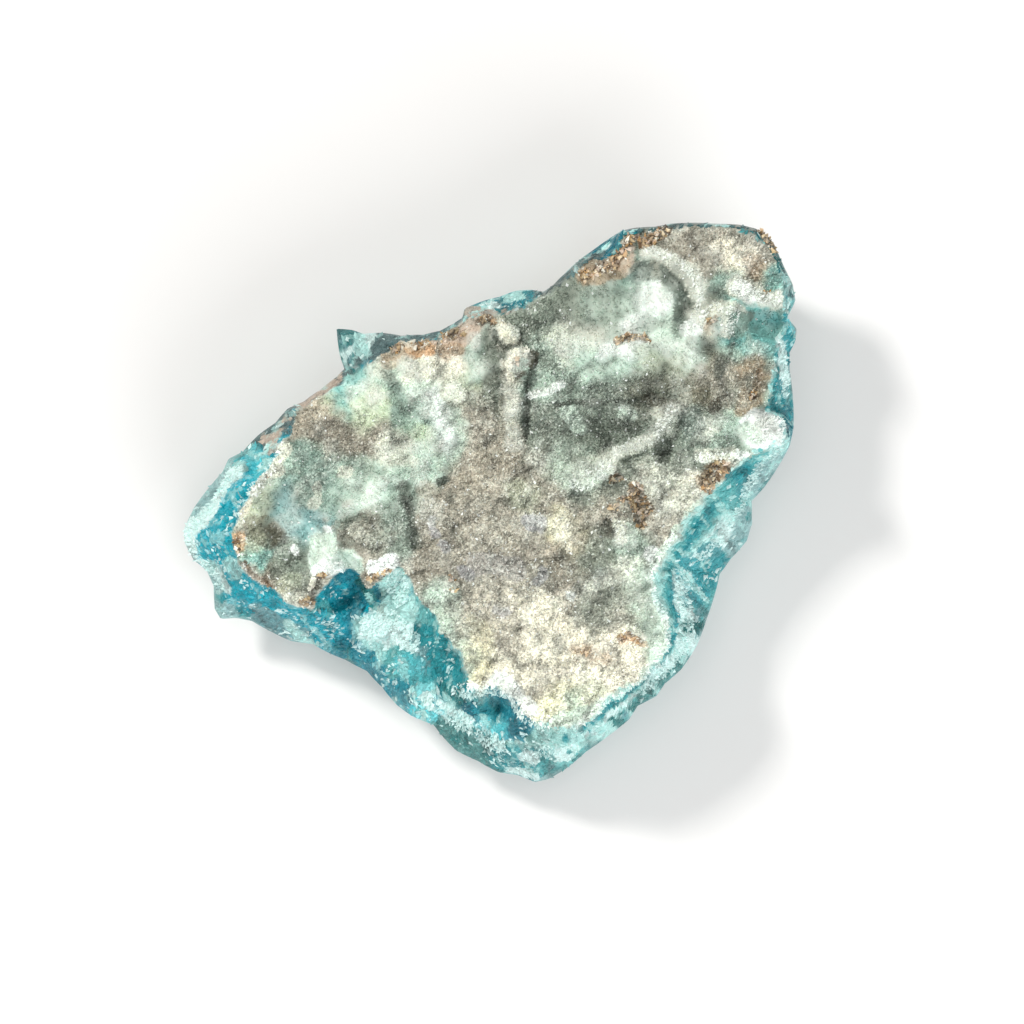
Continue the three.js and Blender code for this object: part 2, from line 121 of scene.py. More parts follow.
# Rounded lumps, and with a negative height hollows: column, row, half sizes along x and y, height.
lumps = {
    "westDome": (330, 480, 9.5, 8.5, 0.9),
    "centreSwell": (478, 545, 8.5, 8, 1.1),
    "southSwell": (565, 665, 8.5, 5.2, 0.9),
    "pool": (622, 300, 6.4, 3.8, -1.2),
    "middleHollow": (588, 400, 9, 5, -0.6),
    "cobbledCorner": (726, 254, 6, 4.6, 1.3),
    "snowDome": (657, 305, 1.9, 1.7, 1),
    "crustLobe": (718, 322, 2.4, 2, 0.9),
    "yellowGreenBoss": (380, 400, 2.2, 1.9, 0.7),
    "aquaDome": (370, 384, 2.4, 1.3, 0.5),
    "mintFoot": (390, 450, 1.4, 1.1, 0.5),
    "icePatch": (297, 520, 2.8, 1.8, 0.6),
    "whiteWedge": (331, 558, 1.8, 1.8, 0.7),
    "greyPlate": (432, 508, 1.7, 2.2, 0.6),
    "frostBank": (587, 475, 2.1, 1.7, 0.9),
    "butterLump": (570, 533, 1.7, 1.6, 0.7),
    "mintKnuckle": (626, 540, 1.5, 1.4, 1),
    "rimSnow": (766, 428, 1.9, 1.6, 0.8),
    "tawnyShoulder": (712, 425, 1.8, 1.6, 0.6),
    "tealPocket": (768, 323, 3, 1.9, -1.6),
    "lowerPocket": (500, 706, 2.2, 1.6, -0.8),
    "tealDell": (446, 662, 2, 2.4, -0.9),
    "basin": (604, 430, 3.6, 2.4, -1),
    "basinEast": (655, 398, 2.8, 1.5, -1),
    "lumpRidgeHollow": (630, 458, 1.4, 1.1, -0.6),
    "ochrePit": (640, 506, 1.8, 2, -0.9),
    "darkNook": (606, 530, 1, 1.5, -0.6),
    "eastNook": (663, 452, 1, 1.3, -0.8),
    "rustHollow": (712, 476, 1.4, 1.4, -0.6),
    "tanHollow": (755, 382, 1.9, 2.2, -0.6),
    "crustNotch": (720, 293, 1.6, 1, -1),
    "leftDimple": (275, 541, 1.3, 1.2, -0.7),
    "bite": (346, 602, 2.7, 2.3, -1.5),
    "greyGreenHollow": (608, 598, 2, 2, -0.4),
}

# Round balls that stand out of the skin: column, row, radius, height.
balls = {
    "knob": (520, 360, 1.15, 1.2),
    "creamBall": (509, 337, 0.95, 0.9),
    "paleBall": (456, 394, 0.9, 0.5),
    "ridgeBall": (668, 412, 0.8, 0.6),
    "bankBall": (604, 470, 0.9, 0.7),
}

# Ridges, and with a negative height grooves: a path, its half width and its height.
ridges = {
    "stem": ([(516, 366), (514, 384), (516, 402), (512, 422), (514, 442)], 1.3, 1),
    "stemGroove": ([(531, 374), (528, 392), (530, 412), (524, 436)], 0.6, -0.5),
    "mintRidge": ([(414, 372), (426, 402), (430, 432), (420, 472)], 2.2, 1.2),
    "mintRib": ([(477, 340), (477, 376)], 1, 0.6),
    "mintStreak": ([(346, 512), (366, 500), (386, 484)], 1, 0.7),
    "darkGroove": ([(405, 490), (410, 506), (408, 520), (414, 546)], 0.8, -0.6),
    "frostRidge": ([(668, 410), (662, 424), (652, 432)], 1.3, 0.9),
    "lumpRidge": ([(640, 440), (622, 446), (610, 454), (606, 468)], 1.0, 0.8),
    "crustRidge": ([(648, 254), (676, 263), (696, 284), (701, 308), (694, 334)], 1.05, 1.1),
    "poolGroove": ([(640, 268), (664, 268), (682, 280), (690, 304), (686, 330)], 1.2, -0.8),
    "cornerLip": ([(734, 289), (752, 298), (779, 293)], 1.2, 0.9),
    "paleBank": ([(562, 345), (604, 350), (650, 351), (694, 350)], 1.6, 0.6),
    "whiteLedge": ([(533, 397), (560, 385)], 0.7, 0.35),
}


def onStone(column, row, height):
    scale = picture["pixelAtFloor"] * (picture["eyeHeight"] - height) / picture["eyeHeight"]
    midColumn, midRow = picture["stoneMiddle"]
    return (column - midColumn) * scale, (midRow - row) * scale


outlineX, outlineY = onStone(*outline.T)
outlineMiddle = ((outlineX.min() + outlineX.max()) / 2, (outlineY.min() + outlineY.max()) / 2)


def placed(points, height=stone["skinHeight"]):
    points = np.atleast_2d(np.array(points, float))
    x, y = onStone(points[:, 0], points[:, 1], height)
    return x - outlineMiddle[0], y - outlineMiddle[1]


# A closed line as its distance from the middle at any bearing, straight between its points.
def around(points, height):
    x, y = placed(points[:, :2], height)
    return lambda bearing: np.interp(bearing, np.arctan2(y, x), np.hypot(x, y), period=2 * math.pi)


outlineReach = around(outline, outline[:, 2])
footReach = around(footEdge, 0)


def outlineHeight(bearing):
    x, y = placed(outline[:, :2], outline[:, 2])
    return np.interp(bearing, np.arctan2(y, x), outline[:, 2], period=2 * math.pi)


# A repeatable number from 0 to 1 for each cell of a grid: the fraction of a large sine.
def cellNoise(i, j, salt):
    value = np.sin(i * 127.1 + j * 311.7 + salt * 74.7) * 43758.5453
    return value - np.floor(value)


# Each grid cell holds one site; yields the offsets from the nine sites round each point.
def sites(u, v, repeat=1e9):
    for di in (-1, 0, 1):
        for dj in (-1, 0, 1):
            i = np.floor(u) + di
            j = np.floor(v) + dj
            cell = np.mod(i, repeat)
            yield u - i - cellNoise(cell, j, 1), v - j - cellNoise(cell, j, 2), cell, j


# Domes crowded side by side: the highest of 1 - (distance / size) squared over the sites.
def cobbles(u, v):
    top = np.zeros_like(u)
    for du, dv, i, j in sites(u, v):
        size = 0.75 + 0.4 * cellNoise(i, j, 3)
        top = np.maximum(top, 1 - (du * du + dv * dv) / (size * size))
    return top


chipShape = {
    "tilt": 0.6,
    "step": 0.8,             # how far one face may lie above the next
    "sharpness": 13.0,
}


# Tilted flat faces, about -0.5 to 0.5: the sites' own planes, each fading quickly with distance.
def chips(u, v, repeat=1e9):
    total = np.zeros_like(u)
    weights = np.zeros_like(u)
    for du, dv, i, j in sites(u, v, repeat):
        tilt = chipShape["tilt"] * ((cellNoise(i, j, 4) - 0.5) * du + (cellNoise(i, j, 5) - 0.5) * dv)
        weight = np.exp(-chipShape["sharpness"] * (du * du + dv * dv))
        total = total + weight * (tilt + chipShape["step"] * (cellNoise(i, j, 6) - 0.5))
        weights = weights + weight
    return total / weights


# Smooth noise: cell numbers blended with a cubic, from 0 to 1. It can repeat after some cells.
def softNoise(u, v, salt, repeat=1e9):
    i = np.floor(u)
    j = np.floor(v)
    a = u - i
    b = v - j
    a = a * a * (3 - 2 * a)
    b = b * b * (3 - 2 * b)
    here = np.mod(i, repeat)
    there = np.mod(i + 1, repeat)
    low = cellNoise(here, j, salt) * (1 - a) + cellNoise(there, j, salt) * a
    high = cellNoise(here, j + 1, salt) * (1 - a) + cellNoise(there, j + 1, salt) * a
    return low * (1 - b) + high * b


# Smooth noise on a ring of so many cells, with no seam.
def ringNoise(bearing, v, count, salt):
    return softNoise((bearing / (2 * math.pi) + 0.5) * count, v, salt, count)


def smooth(value, low, high):
    share = np.clip((value - low) / (high - low), 0, 1)
    return share * share * (3 - 2 * share)


def hump(share):
    return np.where(share < 1, (1 - np.minimum(share, 1) ** 2) ** 2, 0.0)


# The least distance from each point to a line of straight stretches.
def distanceToPath(x, y, pathX, pathY):
    least = np.hypot(x - pathX[0], y - pathY[0])
    for k in range(len(pathX) - 1):
        dx = pathX[k + 1] - pathX[k]
        dy = pathY[k + 1] - pathY[k]
        share = np.clip(((x - pathX[k]) * dx + (y - pathY[k]) * dy) / (dx * dx + dy * dy), 0, 1)
        least = np.minimum(least, np.hypot(x - pathX[k] - share * dx, y - pathY[k] - share * dy))
    return least


# The skin's form: cobbles all over, with the named lumps and ridges added as smooth humps.
def skinRelief(x, y):
    height = stone["cobbleHeight"] * cobbles(x / stone["cobbleSpacing"], y / stone["cobbleSpacing"])
    for column, row, sizeX, sizeY, rise in lumps.values():
        centreX, centreY = placed((column, row))
        height = height + rise * hump(np.hypot((x - centreX) / sizeX, (y - centreY) / sizeY))
    x2, y2 = wandered(x, y, 0.35)
    uneven = 0.5 + softNoise(x / 0.9, y / 0.9, 15)
    for path, width, rise in ridges.values():
        height = height + rise * uneven * hump(distanceToPath(x2, y2, *placed(path)) / width)
    for column, row, radius, rise in balls.values():
        centreX, centreY = placed((column, row))
        share = np.hypot(x - centreX, y - centreY) / radius
        height = height + rise * np.sqrt(np.maximum(0, 1 - share * share))
    return height


skinDetail = {
    "bubbleSpacing": 1.15,
    "bubbleHeight": 0.42,
    "grainSpacing": 0.5,
    "grainHeight": 0.16,
    "satinShare": 0.55,      # how much of the fine relief is left on the satin mint crust
    "crumbDepth": 0.24,      # the relief that counts as fully high or low
    "crumbShade": 0.38,      # how much lighter or darker that makes it: painted highlight on the tops, painted shade in the gaps
}


def fineSkin(x, y, satin):
    bubbles = cobbles(x / skinDetail["bubbleSpacing"] + 5.3, y / skinDetail["bubbleSpacing"] + 1.7)
    grains = cobbles(x / skinDetail["grainSpacing"] + 2.1, y / skinDetail["grainSpacing"] + 8.4)
    rough = 1 - (1 - skinDetail["satinShare"]) * satin
    height = skinDetail["bubbleHeight"] * (bubbles - 0.6) + skinDetail["grainHeight"] * (grains - 0.6)
    return height * rough


# The same relief as a number about -1 to 1, which lightens the tops and darkens the gaps as painted
# highlight and painted shade.
def crumbLightAndShade(x, y, satin):
    return np.clip(fineSkin(x, y, satin) / skinDetail["crumbDepth"], -1, 1)


slopeDetail = {
    "chipSpacings": (1.4, 0.62),
    "chipHeights": (0.6, 0.26),
    "fibreHeight": 0.12,
    "fibres": 280,           # round the whole stone
    "wiggle": 0.45,          # how far the skin's broken edge wanders
}


def fineSlope(x, y, bearing, reach):
    height = np.zeros_like(x)
    for spacing, rise in zip(slopeDetail["chipSpacings"], slopeDetail["chipHeights"]):
        height = height + rise * chips(x / spacing + 3.7, y / spacing + 6.1)
    fibres = ringNoise(bearing, reach * 0.5, slopeDetail["fibres"], 9) - 0.5
    return height + slopeDetail["fibreHeight"] * fibres


# Everything about a bearing: the outline, its height, and the foot.
def spotsAt(bearing):
    rim = outlineReach(bearing)
    return {
        "rim": rim,
        "rimHeight": outlineHeight(bearing),
        "foot": np.minimum(footReach(bearing), rim - 1),
    }


# How far outside a closed line each point lies, in millimetres: negative inside.
def outsideOf(x, y, points, height):
    lineX, lineY = placed(points, height)
    nextX = np.roll(lineX, -1)
    nextY = np.roll(lineY, -1)
    inside = np.zeros(len(x), bool)
    for startX, startY, endX, endY in zip(lineX, lineY, nextX, nextY):
        rise = endY - startY if endY != startY else 1.0
        crossed = (startY > y) != (endY > y)
        inside ^= crossed & (x < (endX - startX) * (y - startY) / rise + startX)
    distance = distanceToPath(x, y, np.append(lineX, lineX[0]), np.append(lineY, lineY[0]))
    return np.where(inside, -distance, distance)


# How far outside the skin each point lies, bites and all, with the line wandering a little; and how
# far it still is to the outline. Close to the outline a point always counts as bare.
def outsideSkin(x, y):
    left = np.maximum(0, -outsideOf(x, y, outline[:, :2], outline[:, 2]))
    outside = outsideOf(x, y, skinEdge, stone["skinHeight"])
    for bite in bites:
        outside = np.maximum(outside, -outsideOf(x, y, bite, stone["skinHeight"]))
    coarse = softNoise(x / 1.6, y / 1.6, 11) - 0.5
    fine = softNoise(x / 0.55, y / 0.55, 12) - 0.5
    outside = outside - slopeDetail["wiggle"] * (1.3 * coarse + fine)
    return np.maximum(outside, stone["narrowestSlope"] * (0.7 + coarse) - left), left


# From 0 in the west, where the skin breaks off sharply, to 1 in the east, where it fades out.
def eastShare(x):
    return smooth(x, -8.0, 2.0)


def bareShare(x, outside):
    sharp, soft = stone["edgeFade"]
    fade = sharp + (soft - sharp) * eastShare(x)
    return smooth(outside, -0.3 * fade, 0.7 * fade)


# Height of the top: skin that droops to its edge, a step, then a slope of flat chips to the outline.
# Also gives the place across the slope, 0 at the skin's edge and 1 at the outline, and its bareness.
def topHeight(x, y, satin):
    bearing = np.arctan2(y, x)
    reach = np.hypot(x, y)
    outside, left = outsideSkin(x, y)
    droop = stone["edgeDroop"] * np.exp(-np.abs(outside) / stone["droopReach"])
    skin = stone["skinHeight"] + skinRelief(x, y) - droop
    bare = np.maximum(0, outside)
    across = bare / (bare + left + 0.01)
    arch = np.sin(math.pi * across)
    chip = stone["slopeChip"] * chips(x / stone["chipSpacing"], y / stone["chipSpacing"])
    slope = skin + (outlineHeight(bearing) - skin) * across
    slope = slope + (chip + fineSlope(x, y, bearing, reach)) * np.sqrt(arch) * np.minimum(1, arch * 3)
    beyond = bareShare(x, outside)
    room = np.minimum(1, (bare + left) / 1.5)
    step = stone["edgeStep"] * (1 - 0.75 * eastShare(x)) * room * beyond * (1 - across)
    onSkin = skin + fineSkin(x, y, satin)
    ceiling, give = stone["ceiling"]
    top = onSkin + (slope - step - onSkin) * beyond
    return np.where(top < ceiling, top, ceiling + give * np.tanh((top - ceiling) / give)), across, beyond


wallShape = {
    "turnIn": (0.7, 0.8),    # the least power of the share, and how much more it may be
    "chipsRound": (42, 96, 218),
    "fibre": 0.35,
    "cutSpread": 0.7,
}


# The wall's distance from the middle, from the outline (share 0) to the foot (share 1): a power curve
# with chips cut into it, which fade out at both ends.
def wallReach(bearing, height, share, spots):
    lap = bearing / (2 * math.pi) + 0.5
    least, more = wallShape["turnIn"]
    turnIn = least + more * ringNoise(bearing, 0 * bearing, 19, 7)
    large, middling, small = wallShape["chipsRound"]
    cut = stone["wallChip"] * (0.5 + chips(lap * large, height / stone["chipSpacing"], large))
    finer = zip((middling, small), slopeDetail["chipSpacings"], slopeDetail["chipHeights"])
    for count, spacing, rise in finer:
        cut = cut + rise * (0.4 + chips(lap * count, height / spacing + 4.4, count))
    fibres = ringNoise(bearing, height / 1.8, 330, 13) + 0.6 * ringNoise(bearing, height / 1.1, 170, 14)
    cut = cut + wallShape["fibre"] * fibres
    straight = spots["rim"] + (spots["foot"] - spots["rim"]) * share ** turnIn
    return straight - cut * np.sin(math.pi * share) ** wallShape["cutSpread"]


def sRGB(red, green, blue):
    def channel(value):
        value = value / 255
        return value / 12.92 if value <= 0.04045 else ((value + 0.055) / 1.055) ** 2.4
    return (channel(red), channel(green), channel(blue), 1.0)


hues = {
    "taupe": sRGB(166, 162, 148),
    "umber": sRGB(156, 151, 136),
    "taupeLight": sRGB(190, 187, 172),
    "lavender": sRGB(184, 186, 190),
    "greyGreen": sRGB(138, 150, 136),
    "seaGreen": sRGB(132, 162, 150),
    "slateGreen": sRGB(118, 132, 124),
    "mint": sRGB(190, 211, 196),
    "mintLight": sRGB(216, 233, 219),
    "aqua": sRGB(150, 204, 196),
    "pocketTeal": sRGB(120, 182, 176),
    "ice": sRGB(134, 174, 172),
    "yellowMint": sRGB(204, 214, 188),
    "lime": sRGB(212, 227, 198),
    "white": sRGB(246, 252, 248),
    "iceWhite": sRGB(222, 250, 246),
    "gold": sRGB(214, 190, 148),
    "offWhite": sRGB(222, 226, 212),
    "cream": sRGB(242, 240, 224),
    "butter": sRGB(238, 236, 204),
    "peach": sRGB(202, 194, 174),
    "pinkBeige": sRGB(202, 184, 166),
    "tan": sRGB(180, 158, 130),
    "olive": sRGB(124, 118, 96),
    "shade": sRGB(86, 94, 84),
    # Dark umber, mostly painted shade: in creases and hollows, at the knob's lower right and along the
    # bite's edge.
    "umberDarkAndShade": sRGB(84, 78, 64),
    "ochre": sRGB(176, 138, 88),
    "orange": sRGB(216, 182, 142),
    "brown": sRGB(118, 94, 68),
    "rustGap": sRGB(92, 72, 52),
    # Pale grey-white: lighter grains and patches, and the painted highlight on raised tops of the relief.
    "paleAndHighlight": sRGB(230, 236, 226),
    "turquoise": sRGB(0, 168, 186),
    "blue": sRGB(0, 134, 154),
    "deep": sRGB(0, 110, 126),
    "teal": sRGB(34, 146, 154),
    "midTeal": sRGB(88, 176, 176),
    "darkTeal": sRGB(36, 118, 116),
    "glass": sRGB(150, 188, 188),
    "sky": sRGB(180, 230, 224),
    "cyan": sRGB(96, 214, 222),
    "greyTeal": sRGB(112, 158, 162),
    "rimGrey": sRGB(86, 110, 110),
    "rimDark": sRGB(58, 84, 86),
    "matrix": sRGB(158, 144, 122),
}

# Soft washes on the skin, laid one over another: hue, half width in millimetres, strength, path.
skinWashes = [
    ("greyGreen", 9.0, 0.9, [(560, 300), (640, 290), (680, 330)]),
    ("greyGreen", 8.5, 0.9, [(560, 390), (640, 410), (720, 430)]),
    ("slateGreen", 5.5, 0.4, [(560, 410), (600, 390), (640, 385)]),
    ("greyGreen", 5.0, 0.8, [(600, 440), (640, 470), (690, 460)]),
    ("greyGreen", 4.0, 0.8, [(485, 340), (490, 385)]),
    ("greyGreen", 5.0, 0.7, [(530, 320), (550, 350), (548, 372)]),
    ("taupeLight", 5.0, 0.7, [(660, 500), (690, 500), (650, 545)]),
    ("umber", 5.0, 0.7, [(318, 440), (356, 446), (380, 458)]),
    ("umber", 2.4, 0.8, [(292, 492), (308, 494)]),
    ("umber", 3.2, 0.6, [(430, 560), (450, 590)]),
    ("umber", 4.4, 0.25, [(500, 535), (530, 552), (560, 510)]),
    ("tan", 2.8, 0.4, [(268, 560), (290, 582)]),
    ("peach", 3.6, 0.4, [(446, 495), (480, 482), (500, 470)]),
    ("taupeLight", 4.5, 0.8, [(470, 530), (500, 520)]),
    ("taupeLight", 2.4, 0.6, [(480, 436), (470, 440)]),
    ("seaGreen", 3.4, 0.9, [(292, 466), (338, 480), (336, 502)]),
    ("seaGreen", 3.4, 0.7, [(262, 545), (280, 540), (300, 555)]),
    ("seaGreen", 2.6, 0.6, [(398, 500), (396, 545)]),
    ("greyGreen", 3.0, 0.8, [(352, 535), (300, 575)]),
    ("mint", 2.2, 0.7, [(280, 470), (268, 478)]),
    ("mint", 3.0, 0.7, [(350, 490), (366, 480)]),
    ("mint", 1.4, 0.9, [(360, 506), (374, 494), (388, 483)]),
    ("mintLight", 1.1, 0.9, [(368, 502), (386, 486)]),
    ("ice", 2.8, 0.9, [(277, 508), (294, 522), (318, 524)]),
    ("sky", 1.3, 0.3, [(276, 509), (280, 514)]),
    ("sky", 1.4, 0.35, [(300, 526), (312, 533)]),
    ("aqua", 2.0, 0.8, [(254, 552), (256, 560)]),
    ("yellowMint", 2.0, 0.8, [(262, 500), (246, 518), (247, 548)]),
    ("peach", 2.0, 0.8, [(306, 416), (318, 406), (330, 402)]),
    ("yellowMint", 2.0, 0.9, [(334, 402), (350, 398), (366, 412)]),
    ("aqua", 2.8, 1.0, [(348, 388), (366, 378), (392, 382)]),
    ("mintLight", 1.7, 0.8, [(368, 390), (388, 380)]),
    ("cream", 1.6, 0.7, [(384, 366), (398, 364), (408, 362)]),
    ("lime", 1.9, 1.0, [(374, 400), (384, 404), (382, 412)]),
    ("offWhite", 1.1, 0.8, [(376, 398), (386, 402)]),
    ("mint", 4.0, 1.0, [(412, 378), (424, 400), (424, 440), (414, 470)]),
    ("mintLight", 2.4, 0.9, [(412, 384), (430, 398), (438, 420), (440, 440)]),
    ("white", 1.5, 0.7, [(436, 400), (438, 436)]),
    ("seaGreen", 1.2, 0.7, [(424, 414), (422, 440)]),
    ("lime", 1.5, 0.7, [(408, 436), (416, 440)]),
    ("seaGreen", 1.4, 0.6, [(398, 392), (402, 428)]),
    ("offWhite", 1.8, 0.9, [(386, 448), (396, 454)]),
    ("cream", 2.6, 0.8, [(420, 360), (446, 362)]),
    ("offWhite", 2.0, 0.6, [(446, 378), (456, 392)]),
    ("yellowMint", 1.4, 0.6, [(470, 388), (462, 378)]),
    ("mint", 1.7, 1.0, [(478, 338), (476, 360), (474, 376)]),
    ("offWhite", 1.0, 0.8, [(478, 332), (480, 344)]),
    ("shade", 1.8, 0.35, [(490, 350), (500, 362), (498, 376)]),
    ("cream", 1.7, 1.0, [(507, 334), (511, 338)]),
    ("butter", 1.0, 0.6, [(510, 334), (512, 336)]),
    ("taupeLight", 1.3, 0.8, [(515, 378), (513, 440)]),
    ("offWhite", 0.9, 0.7, [(516, 416), (514, 432)]),
    ("mint", 3.2, 0.7, [(560, 346), (574, 372), (545, 378)]),
    ("offWhite", 2.4, 0.7, [(566, 332), (572, 348), (586, 334)]),
    ("mint", 2.8, 0.5, [(606, 300), (622, 314)]),
    ("seaGreen", 3.0, 0.8, [(636, 272), (660, 272), (678, 292)]),
    ("mint", 3.4, 0.7, [(650, 296), (664, 312), (680, 340)]),
    ("mint", 2.8, 1.0, [(592, 352), (650, 354), (690, 352)]),
    ("mintLight", 3.4, 0.8, [(654, 300), (660, 314)]),
    ("white", 2.5, 0.65, [(655, 300), (657, 305)]),
    ("white", 1.6, 0.8, [(634, 328), (646, 328)]),
    ("mintLight", 2.0, 0.7, [(650, 334), (672, 334), (684, 350)]),
    ("white", 1.0, 0.9, [(604, 345), (624, 347), (640, 343)]),
    ("yellowMint", 1.6, 0.6, [(650, 360), (666, 362)]),
    ("greyGreen", 1.3, 0.7, [(656, 346), (666, 350)]),
    ("offWhite", 1.8, 0.6, [(584, 332), (594, 330)]),
    ("olive", 3.2, 0.5, [(648, 382), (690, 390), (716, 382)]),
    ("taupe", 3.2, 0.7, [(700, 380), (722, 390)]),
    ("taupeLight", 2.6, 0.6, [(726, 386), (740, 392)]),
    ("mint", 3.4, 0.8, [(712, 430), (736, 438), (752, 414)]),
    ("offWhite", 1.4, 0.8, [(706, 422), (712, 428)]),
    ("offWhite", 1.7, 0.8, [(668, 412), (662, 424)]),
    ("offWhite", 1.0, 0.7, [(640, 440), (626, 444), (612, 452)]),
    ("offWhite", 2.0, 0.9, [(604, 468), (590, 476), (574, 480)]),
    ("mint", 2.6, 0.6, [(570, 466), (584, 484)]),
    ("greyGreen", 3.0, 0.7, [(680, 414), (690, 446), (676, 470)]),
    ("offWhite", 1.2, 0.8, [(664, 474), (670, 478)]),
    ("cream", 1.3, 0.9, [(686, 482), (694, 484)]),
    ("offWhite", 2.6, 0.7, [(664, 494), (690, 508)]),
    ("yellowMint", 2.0, 0.5, [(524, 496), (536, 500)]),
    ("butter", 2.2, 0.6, [(566, 532), (576, 540)]),
    ("cream", 1.2, 0.5, [(572, 530), (568, 540)]),
    ("peach", 2.0, 0.7, [(560, 560), (588, 552)]),
    ("greyGreen", 3.6, 0.8, [(596, 560), (640, 575)]),
    ("slateGreen", 2.6, 0.6, [(602, 590), (616, 602), (606, 612)]),
    ("mint", 2.4, 0.8, [(626, 544), (640, 562), (652, 580)]),
    ("offWhite", 2.0, 0.8, [(622, 586), (644, 580)]),
    ("offWhite", 1.2, 0.9, [(594, 592), (596, 600)]),
    ("umber", 3.0, 0.5, [(560, 585), (580, 604)]),
    ("cream", 8.5, 1.0, [(520, 660), (570, 685), (620, 665)]),
    ("cream", 3.5, 0.8, [(530, 612), (560, 625)]),
    ("cream", 3.4, 0.9, [(482, 634), (484, 672)]),
    ("butter", 1.6, 0.7, [(484, 630), (478, 676)]),
    ("mintLight", 2.2, 0.8, [(450, 606), (454, 626)]),
    ("mint", 2.2, 0.7, [(440, 604), (446, 634), (462, 660)]),
    ("yellowMint", 2.4, 0.5, [(560, 712), (590, 704)]),
    ("butter", 2.2, 0.5, [(536, 706), (560, 704)]),
    ("mint", 1.2, 0.7, [(572, 706), (576, 716)]),
    ("taupe", 1.6, 0.5, [(540, 690), (556, 688)]),
    ("taupe", 3.0, 0.45, [(500, 628), (470, 612)]),
    ("greyGreen", 2.6, 0.6, [(596, 610), (630, 612)]),
    ("taupe", 1.3, 0.6, [(500, 640), (512, 650)]),
    ("tan", 1.6, 0.6, [(584, 648), (592, 656)]),
    ("mint", 2.4, 0.8, [(650, 590), (656, 630), (652, 656)]),
    ("taupeLight", 5.0, 0.9, [(690, 246), (735, 250), (752, 270)]),
    ("taupe", 3.0, 0.7, [(690, 244), (706, 252)]),
    ("taupe", 2.6, 0.7, [(752, 256), (760, 276)]),
    ("cream", 1.5, 0.8, [(723, 250), (728, 262)]),
    ("cream", 1.0, 0.7, [(744, 252), (748, 258)]),
    ("cream", 1.6, 0.7, [(724, 280), (740, 282)]),
    ("tan", 1.4, 0.7, [(746, 268), (764, 290)]),
    ("mint", 1.8, 0.7, [(724, 286), (708, 302)]),
    ("seaGreen", 1.8, 0.8, [(712, 292), (728, 294)]),
    ("cream", 2.2, 0.9, [(708, 312), (732, 314), (722, 330)]),
    ("tan", 1.6, 0.5, [(710, 322), (722, 332)]),
    ("mint", 2.0, 0.7, [(742, 352), (758, 354), (774, 354)]),
    ("aqua", 1.6, 0.8, [(774, 282), (784, 280)]),
    ("pocketTeal", 3.6, 1.0, [(752, 318), (776, 318), (770, 334), (752, 332)]),
    ("teal", 1.3, 0.4, [(764, 312), (778, 318)]),
    ("mint", 1.6, 0.9, [(770, 396), (760, 410), (748, 422)]),
    ("olive", 1.6, 0.6, [(750, 374), (758, 386), (750, 400)]),
    ("tan", 1.7, 0.7, [(752, 370), (758, 384), (750, 400)]),
    ("offWhite", 1.0, 0.6, [(752, 376), (750, 396)]),
]

